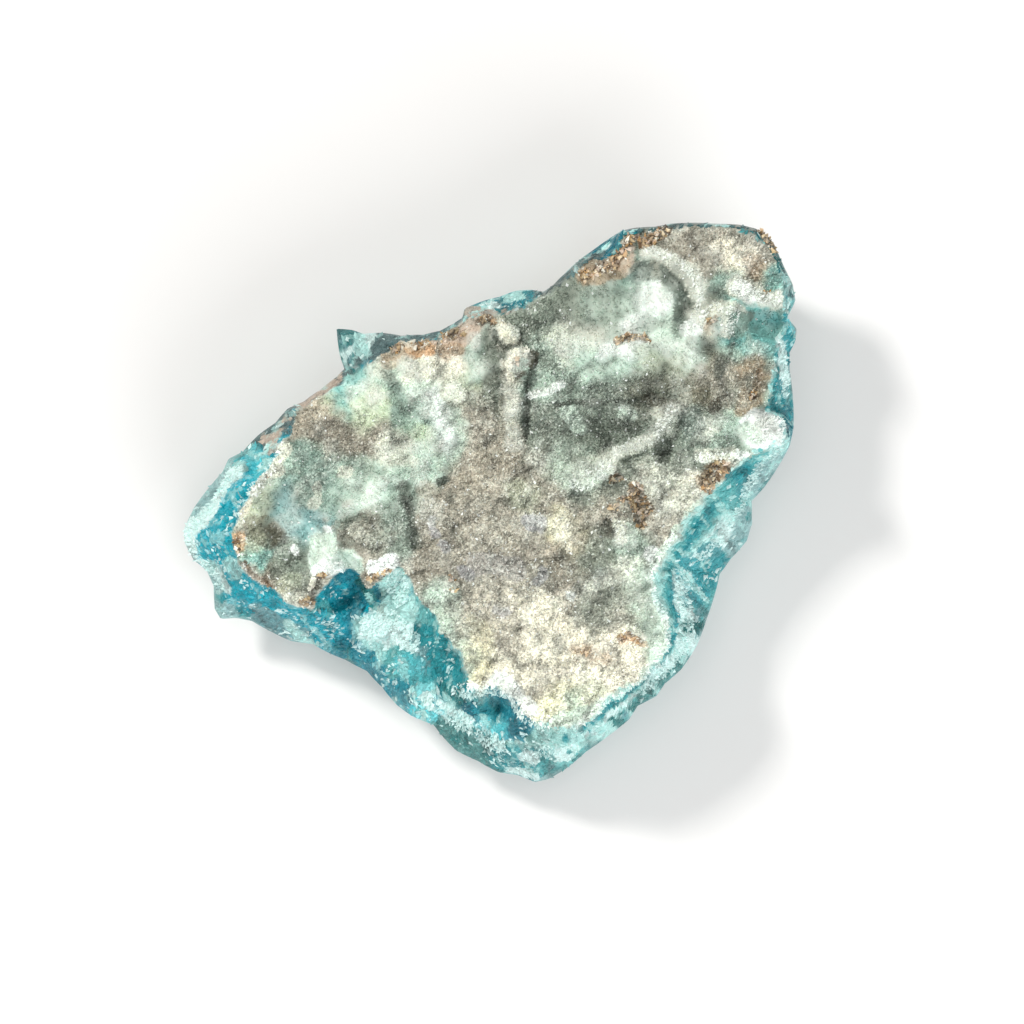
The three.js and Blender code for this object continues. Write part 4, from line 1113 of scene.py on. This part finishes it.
# A square grid bent into rings: ring k of a side's half holds 8k points.
def ringGrid(cells):
    axis = np.linspace(-1, 1, cells + 1)
    u, v = np.meshgrid(axis, axis)
    ring = np.maximum(np.abs(u), np.abs(v))
    sideways = np.abs(u) >= np.abs(v)
    safeU = np.where(u == 0, 1, u)
    safeV = np.where(v == 0, 1, v)
    turn = np.where(
        sideways,
        math.pi / 4 * v / safeU + np.where(u < 0, math.pi, 0),
        math.pi / 2 - math.pi / 4 * u / safeV + np.where(v < 0, math.pi, 0),
    )
    turn = np.where(ring == 0, 0, turn)
    return ring.ravel(), np.arctan2(np.sin(turn), np.cos(turn)).ravel()


def gridFaces(cells):
    side = cells + 1
    j, i = np.mgrid[0:cells, 0:cells]
    a = (j * side + i).ravel()
    return np.stack([a, a + 1, a + side + 1, a + side], axis=1)


def gridBorder(cells):
    side = cells + 1
    k = np.arange(cells)
    return np.concatenate([k, k * side + cells, cells * side + cells - k, (cells - k) * side])


def makeMesh(name, points, faces, attributes, material):
    mesh = bpy.data.meshes.new(name)
    mesh.from_pydata(np.asarray(points) * 0.001, [], faces)
    for key, values in attributes.items():
        kind, field = "FLOAT", "value"
        if values.ndim == 2:
            kind, field = "FLOAT_COLOR", "color"
            values = np.hstack([values, np.ones((len(values), 1))])
        held = mesh.attributes.new(key, kind, "POINT").data
        held.foreach_set(field, values.astype(np.float32).ravel())
    mesh.update()
    mesh.validate()
    mesh.materials.append(material)
    piece = bpy.data.objects.new(name, mesh)
    bpy.context.scene.collection.objects.link(piece)
    return piece


# Shader maths as Python: a Signal wraps a socket, and each operator adds its node.
class Signal:
    def __init__(self, graph, socket):
        self.graph = graph
        self.socket = socket

    def maths(self, operation, *others):
        return self.graph.node("ShaderNodeMath", {"operation": operation}, [self, *others])

    def __add__(self, other):
        return self.maths("ADD", other)

    def __radd__(self, other):
        return self.maths("ADD", other)

    def __sub__(self, other):
        return self.maths("SUBTRACT", other)

    def __rsub__(self, other):
        return self.graph.node("ShaderNodeMath", {"operation": "SUBTRACT"}, [other, self])

    def __mul__(self, other):
        return self.maths("MULTIPLY", other)

    def __rmul__(self, other):
        return self.maths("MULTIPLY", other)

    def between(self, low, high):
        ranged = {"interpolation_type": "SMOOTHSTEP"}
        values = {"Value": self, "From Min": low, "From Max": high}
        return self.graph.node("ShaderNodeMapRange", ranged, values)


class Graph:
    def __init__(self, name):
        self.material = bpy.data.materials.new(name)
        self.material.use_nodes = True
        self.tree = self.material.node_tree
        self.shader = self.tree.nodes["Principled BSDF"]

    # Adds a node: its settings first, then values or links for its sockets; returns its output.
    def node(self, kind, settings=None, values=(), output=0):
        made = self.tree.nodes.new(kind)
        for key, value in (settings or {}).items():
            setattr(made, key, value)
        pairs = values.items() if isinstance(values, dict) else enumerate(values)
        for key, value in pairs:
            self.feed(made.inputs[key], value)
        return Signal(self, made.outputs[output])

    def feed(self, socket, value):
        if isinstance(value, Signal):
            self.tree.links.new(value.socket, socket)
        else:
            socket.default_value = value

    def attribute(self, name, output=2):
        return self.node("ShaderNodeAttribute", {"attribute_name": name}, output=output)

    # Colour mix by a factor; sockets 0, 6 and 7 are the factor and the two colours.
    def mix(self, factor, a, b, blend="MIX"):
        settings = {"data_type": "RGBA", "blend_type": blend, "clamp_factor": True}
        return self.node("ShaderNodeMix", settings, {0: factor, 6: a, 7: b}, output=2)

    def noise(self, vector, scale, detail=2.0, roughness=0.5):
        values = {"Vector": vector, "Scale": scale, "Detail": detail, "Roughness": roughness}
        return self.node("ShaderNodeTexNoise", {}, values)

    def millimetres(self):
        coordinates = self.node("ShaderNodeTexCoord", output=3)
        return self.node("ShaderNodeVectorMath", {"operation": "SCALE"}, {0: coordinates, "Scale": 1000.0})


finish = {
    "speckle": 1.15,         # how much lighter and darker the grains are
    "satinSpeckle": 0.35,
    "bumpDepth": 0.00006,
    "slopeBump": 4.0,        # how much deeper the coarse bumps of the bare layers are
}


def stoneMaterial():
    graph = Graph("hemimorphiteStone")
    place = graph.millimetres()
    fine = graph.noise(place, 4.5, 2.0, 0.7)
    colour = graph.attribute("tone", output=0)
    onSkin = graph.attribute("skin")
    satin = graph.attribute("satin")
    contrast = finish["speckle"] - satin * (finish["speckle"] - finish["satinSpeckle"])
    contrast = contrast * (onSkin * 0.35 + 0.65)
    grain = (graph.attribute("grain") + (fine - 0.5) * 0.9 - 0.5) * contrast
    shade = grain * 0.7 + 1.0
    grey = graph.node("ShaderNodeCombineColor", {}, [shade, shade, shade])
    colour = graph.mix(1.0, colour, grey, "MULTIPLY")
    colour = graph.mix(grain.between(0.15, 0.7) * (onSkin * 0.35 + 0.15), colour, hues["paleAndHighlight"])
    colour = graph.mix((0.0 - grain).between(0.15, 0.7) * onSkin * 0.3, colour, hues["shade"])
    # Painted highlight on raised parts and painted shade in hollows, by how far the relief stands out.
    standing = graph.attribute("standing") * onSkin
    colour = graph.mix(standing.between(0.2, 1.0) * 0.35, colour, hues["paleAndHighlight"])
    colour = graph.mix((0.0 - standing).between(0.2, 1.0) * 0.32, colour, hues["shade"])
    graph.feed(graph.shader.inputs["Base Color"], colour)
    roughness = fine.between(0.3, 0.8) * 0.35 + onSkin * 0.12 + 0.23
    graph.feed(graph.shader.inputs["Roughness"], roughness)
    tiny = graph.noise(place, 8.0, 3.0, 0.7)
    coarse = graph.noise(place, 2.0, 4.0, 0.65)
    height = tiny + coarse * (1.0 - onSkin) * finish["slopeBump"]
    bumped = {"Height": height, "Distance": finish["bumpDepth"], "Strength": 1.0}
    graph.feed(graph.shader.inputs["Normal"], graph.node("ShaderNodeBump", {}, bumped))
    graph.shader.inputs["IOR"].default_value = 1.61
    graph.shader.inputs["Specular IOR Level"].default_value = 0.3
    graph.shader.inputs["Subsurface Weight"].default_value = 0.1
    graph.shader.inputs["Subsurface Radius"].default_value = (0.6, 1.0, 1.0)
    graph.shader.inputs["Subsurface Scale"].default_value = 0.0004
    return graph.material


def stoneBody(material):
    cells = stone["topCells"]
    ring, bearing = ringGrid(cells)
    spots = spotsAt(bearing)
    reach = spots["rim"] * ring
    x = reach * np.cos(bearing)
    y = reach * np.sin(bearing)
    satin = satinAt(x, y)
    z, across, beyond = topHeight(x, y, satin)
    border = gridBorder(cells)
    z[border] = spots["rimHeight"][border]
    faces = gridFaces(cells).tolist()
    depths = [across]
    skins = [1 - beyond]
    points = [np.stack([x, y, z], axis=1)]
    count = len(x)

    edgeBearing = bearing[border]
    edge = spotsAt(edgeBearing)
    upper = border
    for step in range(1, stone["wallRings"] + 1):
        share = step / stone["wallRings"]
        height = edge["rimHeight"] * (1 - share)
        reach = wallReach(edgeBearing, height, share, edge) if share < 1 else edge["foot"]
        points.append(np.stack([reach * np.cos(edgeBearing), reach * np.sin(edgeBearing), height], axis=1))
        lower = np.arange(count, count + len(border))
        count += len(border)
        faces += np.stack([upper, lower, np.roll(lower, -1), np.roll(upper, -1)], axis=1).tolist()
        depths.append(1 + edge["rimHeight"] * share / 4)
        skins.append(np.zeros(len(border)))
        upper = lower

    baseCells = stone["undersideCells"]
    baseRing, baseBearing = ringGrid(baseCells)
    baseReach = spotsAt(baseBearing)["foot"] * baseRing * 0.985
    baseX = baseReach * np.cos(baseBearing)
    baseY = baseReach * np.sin(baseBearing)
    pits = np.clip(chips(baseX / 3.4 + 9, baseY / 3.4) + 0.5 * chips(baseX / 1.5, baseY / 1.5) - 0.12, 0, 1)
    baseZ = 0.9 * pits * np.minimum(1, 6 * (1 - baseRing))
    points.append(np.stack([baseX, baseY, baseZ], axis=1))
    faces += (gridFaces(baseCells)[:, ::-1] + count).tolist()
    inner = gridBorder(baseCells) + count
    coarse = len(border) // len(inner)
    fan = upper.reshape(-1, coarse)
    fan = np.hstack([fan, np.roll(fan[:, :1], -1, axis=0)])
    faces += np.hstack([inner[:, None], fan, np.roll(inner, -1)[:, None]]).tolist()
    baseSpots = spotsAt(baseBearing)
    depths.append(1 + baseSpots["rimHeight"] / 4 + 0.3 * (1 - baseRing))
    skins.append(np.zeros(len(baseX)))

    points = np.concatenate(points)
    attributes = surroundings(*points.T, np.concatenate(depths), np.concatenate(skins))
    attributes["grain"] = np.full(len(points), 0.4)
    return makeMesh("stoneBody", points, faces, attributes, material)


# What a mesh needs to know at each place: its colour, how satin it is and how far it stands out.
def surroundings(x, y, z, depth, skin):
    tone = slopeTone(x, y, z, depth)
    satin = satinAt(x, y)
    # Painted highlight on the tops of the fine relief and painted shade in its gaps; crystals that sit low
    # come out darker.
    skinWithReliefShade = skinTone(x, y) * (1 + skinDetail["crumbShade"] * crumbLightAndShade(x, y, satin)[:, None])
    tone = tone + (skinWithReliefShade - tone) * skin[:, None]
    rusty = (rust["ground"] * smooth(rustAt(x, y), 0.4, 0.6) * np.where(depth < 1, 1, 0))[:, None]
    return {
        "tone": tone + (hueRGB["rustGap"] - tone) * rusty,
        "skin": skin,
        "satin": satin * skin,
        "standing": standing(x, y) * skin,
    }


# Crystals are eight-faced double pyramids, long along their axis. Given what they face, they lie flat.
def doublePyramids(centres, axis, rng, halfWidths, halfLengths, flatness, facing):
    axis = axis / np.linalg.norm(axis, axis=1, keepdims=True)
    if facing is None:
        facing = rng.normal(0, 1, axis.shape)
    across = np.cross(axis, facing + rng.normal(0, 0.22, axis.shape))
    across /= np.linalg.norm(across, axis=1, keepdims=True)
    aside = np.cross(axis, across)
    wide = across * halfWidths[:, None]
    thin = aside * (halfWidths * flatness)[:, None]
    tall = axis * halfLengths[:, None]
    corners = np.stack([wide, thin, -wide, -thin, tall, -tall], axis=1) + centres[:, None, :]
    side = np.array([
        (0, 1, 4), (1, 2, 4), (2, 3, 4), (3, 0, 4),
        (1, 0, 5), (2, 1, 5), (3, 2, 5), (0, 3, 5),
    ])
    faces = (side[None, :, :] + 6 * np.arange(len(centres))[:, None, None]).reshape(-1, 3)
    return corners.reshape(-1, 3), faces


def surfaceAt(x, y):
    satin = satinAt(x, y)
    step = 0.12
    height, across, beyond = topHeight(x, y, satin)
    slopeX = (topHeight(x + step, y, satin)[0] - height) / step
    slopeY = (topHeight(x, y + step, satin)[0] - height) / step
    normal = np.stack([-slopeX, -slopeY, np.ones_like(x)], axis=1)
    return height, normal / np.linalg.norm(normal, axis=1, keepdims=True), across


# Random places over the whole outline and a little beyond it.
def scattered(rng, tries, beyond):
    x = rng.uniform(-24 - beyond, 24 + beyond, tries)
    y = rng.uniform(-22 - beyond, 22 + beyond, tries)
    return x, y


# Crystals of one kind as one mesh, each with its own size, brightness and colour.
def crystalPiece(name, kind, rng, places, axis, found, material, dimmest=0.0, facing=None):
    count = len(places)
    least, most = kind["halfWidth"]
    halfWidth = least + (most - least) * rng.random(count) ** 2
    halfLength = halfWidth * rng.uniform(*kind["length"], count)
    points, faces = doublePyramids(places, axis, rng, halfWidth, halfLength, kind["flatness"], facing)
    found["grain"] = rng.uniform(dimmest, 1, count)
    attributes = {key: np.repeat(values, 6, axis=0) for key, values in found.items()}
    return makeMesh(name, points, faces.tolist(), attributes, material)


druse = {
    "pieces": 3,
    "crystals": 20500,
    "halfWidth": (0.075, 0.16),
    "flatness": 0.7,
    "length": (1.1, 2.0),    # half length over half width
    "lean": 0.45,
    "satinShare": 0.25,      # how many crystals are left on the satin crust
    "white": (0.012, 0.08),  # share of white crystals: everywhere, and more where they are marked
}


# The skin's crystals, which lean about the surface's normal.
def drusePiece(index, material):
    rng = np.random.default_rng(40 + index)
    tries = druse["crystals"] * 4
    x, y = scattered(rng, tries, 0)
    chance = 1 - (1 - druse["satinShare"]) * satinAt(x, y)
    chance = chance * (1 - 0.7 * smooth(rustAt(x, y), 0.4, 0.6))
    kept = (outsideSkin(x, y)[0] < -0.05) & (rng.random(tries) < chance)
    x = x[kept][:druse["crystals"]]
    y = y[kept][:druse["crystals"]]
    height, normal, across = surfaceAt(x, y)
    found = surroundings(x, y, height, np.zeros(len(x)), np.ones(len(x)))
    few, more = druse["white"]
    white = rng.random(len(x)) < few + more * amountOf(x, y, whiteMarks, 12.0)
    found["tone"] = np.where(white[:, None], hueRGB["white"], found["tone"])
    axis = normal + rng.normal(0, druse["lean"], normal.shape)
    places = np.stack([x, y, height + 0.02], axis=1)
    return crystalPiece(f"druse.{index}", druse, rng, places, axis, found, material)


splinters = {
    "crystals": 17000,
    "halfWidth": (0.06, 0.24),
    "flatness": 0.4,
    "length": (1.0, 2.4),
    "swing": (2.4, 0.5),     # how far sheaves, and splinters within one, turn from outward, in radians
    "sheafSpacing": 1.7,
    "rise": 0.35,            # how much they lean out of the surface
    "upward": 0.5,           # how much their flat sides turn up from the slope they lie on
    "white": (0.03, 0.7),
}


# The bare slope's splinters, which lie outward along it; the white ones gather in clusters.
def splinterPiece(material):
    rng = np.random.default_rng(60)
    x, y = scattered(rng, splinters["crystals"] * 5, 1)
    outside, left = outsideSkin(x, y)
    kept = (outside > 0.05) & (left > 0.15)
    x = x[kept][:splinters["crystals"]]
    y = y[kept][:splinters["crystals"]]
    print(f"splinters: {len(x)} of {np.count_nonzero(kept)}")
    height, normal, across = surfaceAt(x, y)
    found = surroundings(x, y, height, across, np.zeros(len(x)))
    few, more = splinters["white"]
    cluster = smooth(blotches(x, y, 140, (1.0, 0.5, 0.25)), 0.06, 0.2)
    white = rng.random(len(x)) < few + more * cluster * amountOf(x, y, whiteMarks, 9.0)
    share = np.where(white, rng.uniform(0.25, 0.95, len(x)), 0)[:, None]
    found["tone"] = found["tone"] + (hueRGB["iceWhite"] - found["tone"]) * share
    sheaves, within = splinters["swing"]
    spacing = splinters["sheafSpacing"]
    turn = np.arctan2(y, x) + sheaves * (softNoise(x / spacing, y / spacing, 170) - 0.5)
    turn = turn + rng.normal(0, within, len(x))
    along = np.stack([np.cos(turn), np.sin(turn), np.zeros(len(x))], axis=1)
    along = along - normal * np.sum(along * normal, axis=1, keepdims=True)
    axis = along + normal * splinters["rise"] * rng.uniform(0, 1, (len(x), 1))
    places = np.stack([x, y, height], axis=1)
    facing = normal + splinters["upward"] * np.array([0, 0, 1])
    return crystalPiece("splinters", splinters, rng, places, axis, found, material, 0.1, facing)


wallSplinters = {
    "crystals": 10000,
    "halfWidth": (0.06, 0.22),
    "flatness": 0.4,
    "length": (1.0, 2.6),
    "span": (0.02, 0.9),     # from how near the outline to how near the foot they lie
    "lean": 0.22,
    "lowest": 0.9,           # keeps them off the floor
    "white": 0.12,
}


# Larger splinters on the wall, which hang down it.
def wallSplinterPiece(material):
    rng = np.random.default_rng(90)
    count = wallSplinters["crystals"]
    bearing = rng.uniform(-math.pi, math.pi, count)
    share = rng.uniform(*wallSplinters["span"], count)
    spots = spotsAt(bearing)
    height = spots["rimHeight"] * (1 - share)
    reach = wallReach(bearing, height, share, spots)
    step = 0.3
    lower = wallReach(bearing, height - step, share + step / spots["rimHeight"], spots)
    x = reach * np.cos(bearing)
    y = reach * np.sin(bearing)
    found = surroundings(x, y, height, 1 + spots["rimHeight"] * share / 4, np.zeros(count))
    white = (rng.random(count) < wallSplinters["white"])[:, None]
    found["tone"] = np.where(white, hueRGB["sky"], found["tone"])
    inward = np.clip((lower - reach) / step, -2, 2)
    axis = np.stack([np.cos(bearing) * inward, np.sin(bearing) * inward, -np.ones(count)], axis=1)
    axis = axis / np.linalg.norm(axis, axis=1, keepdims=True)
    axis = axis + rng.normal(0, wallSplinters["lean"], axis.shape)
    places = np.stack([x, y, np.maximum(height, wallSplinters["lowest"])], axis=1)
    outward = np.stack([np.cos(bearing), np.sin(bearing), np.full(count, -0.2)], axis=1)
    return crystalPiece("wallSplinters", wallSplinters, rng, places, axis, found, material, 0.1, outward)


frost = {
    "crystals": 8000,
    "halfWidth": (0.05, 0.17),
    "flatness": 0.6,
    "length": (1.2, 2.8),
    "outward": 0.8,          # how far they lean away from the stone's middle
    "upward": 1.6,           # how much their flat sides turn up from the slope they lie on
    "white": (0.4, 1.0),     # how much of the colour is white
}


# Frosty crystals, crowded on crests, pale streaks and along the skin's southern edge.
def frostPiece(material):
    rng = np.random.default_rng(80)
    x, y = scattered(rng, frost["crystals"] * 30, 1)
    density = 0.7 * blotches(x, y, 160, (1.2, 0.6, 0.3))
    density = density + np.maximum(*[amountOf(x, y, marks, height) for height, marks in frostMarks.items()])
    kept = (density > 0.5) & (outsideSkin(x, y)[1] > 0.1)
    x = x[kept][:frost["crystals"]]
    y = y[kept][:frost["crystals"]]
    print(f"frost: {len(x)} of {np.count_nonzero(kept)}")
    height, normal, across = surfaceAt(x, y)
    beyond = bareShare(x, outsideSkin(x, y)[0])
    found = surroundings(x, y, height, across, 1 - beyond)
    share = rng.uniform(*frost["white"], (len(x), 1))
    pale = hueRGB["white"] + (hueRGB["iceWhite"] - hueRGB["white"]) * beyond[:, None]
    found["tone"] = found["tone"] + (pale - found["tone"]) * share
    outward = np.stack([x, y, 0 * x], axis=1) / np.hypot(x, y)[:, None]
    flat = beyond[:, None]
    axis = normal * (1 - 0.6 * flat) + outward * frost["outward"] * flat + rng.normal(0, 0.4, normal.shape)
    places = np.stack([x, y, height + 0.03], axis=1)
    facing = normal + frost["upward"] * flat * np.array([0, 0, 1])
    return crystalPiece("frost", frost, rng, places, axis, found, material, 0.45, facing)


rust = {
    "crystals": 1500,
    "halfWidth": (0.07, 0.26),
    "flatness": 0.7,
    "length": (1.0, 2.2),
    "lean": 0.7,
    "ground": 0.75,          # how dark and brown the ground between them is
    "hues": ["brown", "tan", "ochre", "tan", "pinkBeige", "orange", "gold", "gold", "cream"],
}


def rustAt(x, y):
    return amountOf(x, y, rustMarks, stone["skinHeight"]) + 0.8 * blotches(x, y, 150, (0.9, 0.45))


# The rusty crystals, each of one hue, with brown gaps between them.
def rustPiece(material):
    rng = np.random.default_rng(70)
    x, y = scattered(rng, rust["crystals"] * 60, 0)
    kept = rustAt(x, y) > 0.45
    x = x[kept][:rust["crystals"]]
    y = y[kept][:rust["crystals"]]
    print(f"rusty crystals: {len(x)} of {np.count_nonzero(kept)}")
    height, normal, across = surfaceAt(x, y)
    found = surroundings(x, y, height, across, np.ones(len(x)))
    palette = np.array([hueRGB[hue] for hue in rust["hues"]])
    found["tone"] = palette[rng.integers(0, len(palette), len(x))]
    found["satin"] = np.zeros(len(x))
    axis = normal + rng.normal(0, rust["lean"], normal.shape)
    places = np.stack([x, y, height + 0.05], axis=1)
    return crystalPiece("rust", rust, rng, places, axis, found, material)


def cameraAndLight():
    camera = bpy.data.cameras.new("eye")
    eye = bpy.data.objects.new("eye", camera)
    half = picture["width"] / 2
    x, y = placed((half, half), 0)
    eye.location = (x[0] * 0.001, y[0] * 0.001, picture["eyeHeight"] * 0.001)
    camera.sensor_width = picture["sensor"]
    camera.lens = picture["sensor"] * picture["eyeHeight"] / (picture["width"] * picture["pixelAtFloor"])
    camera.clip_start = 0.01
    bpy.context.scene.collection.objects.link(eye)
    bpy.context.scene.camera = eye

    lights = {
        "key": ((-0.24, 0.22, 0.34), 0.07, 1.45, (1.0, 0.98, 0.95)),
        "fill": ((0.24, -0.34, 0.24), 0.4, 2.0, (0.98, 0.99, 1.0)),
        "overhead": ((0.02, 0.05, 0.6), 0.5, 1.0, (1.0, 1.0, 1.0)),
    }
    for name, (place, size, power, colour) in lights.items():
        data = bpy.data.lights.new(name, "AREA")
        data.size = size
        data.energy = power
        data.color = colour
        lamp = bpy.data.objects.new(name, data)
        lamp.location = place
        lamp.rotation_euler = Vector(place).to_track_quat("Z", "Y").to_euler()
        bpy.context.scene.collection.objects.link(lamp)

    world = bpy.data.worlds.new("studio")
    world.use_nodes = True
    world.node_tree.nodes["Background"].inputs["Color"].default_value = (1, 1, 1, 1)
    world.node_tree.nodes["Background"].inputs["Strength"].default_value = 0.3
    bpy.context.scene.world = world
    bpy.context.scene.view_settings.view_transform = "Standard"


def paleFloor():
    graph = Graph("paleFloor")
    place = graph.millimetres()
    cloud = graph.noise(place, 0.02, 2.0)
    colour = graph.mix(cloud, (0.8, 0.79, 0.78, 1), (0.84, 0.83, 0.82, 1))
    graph.feed(graph.shader.inputs["Base Color"], colour)
    graph.shader.inputs["Roughness"].default_value = 0.6
    half = 600.0
    corners = [(-half, -half, 0), (half, -half, 0), (half, half, 0), (-half, half, 0)]
    floor = makeMesh("floor", corners, [(0, 1, 2, 3)], {}, graph.material)


print("camera and light")
cameraAndLight()
paleFloor()

print("stone body")
stoneSurface = stoneMaterial()
body = stoneBody(stoneSurface)
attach(body, "root")
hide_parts("hemimorphite")

print("crystals")
crystals = [drusePiece(index, stoneSurface) for index in range(druse["pieces"])]
crystals += [splinterPiece(stoneSurface), wallSplinterPiece(stoneSurface)]
crystals += [frostPiece(stoneSurface), rustPiece(stoneSurface)]
for piece in crystals:
    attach(piece, "root")
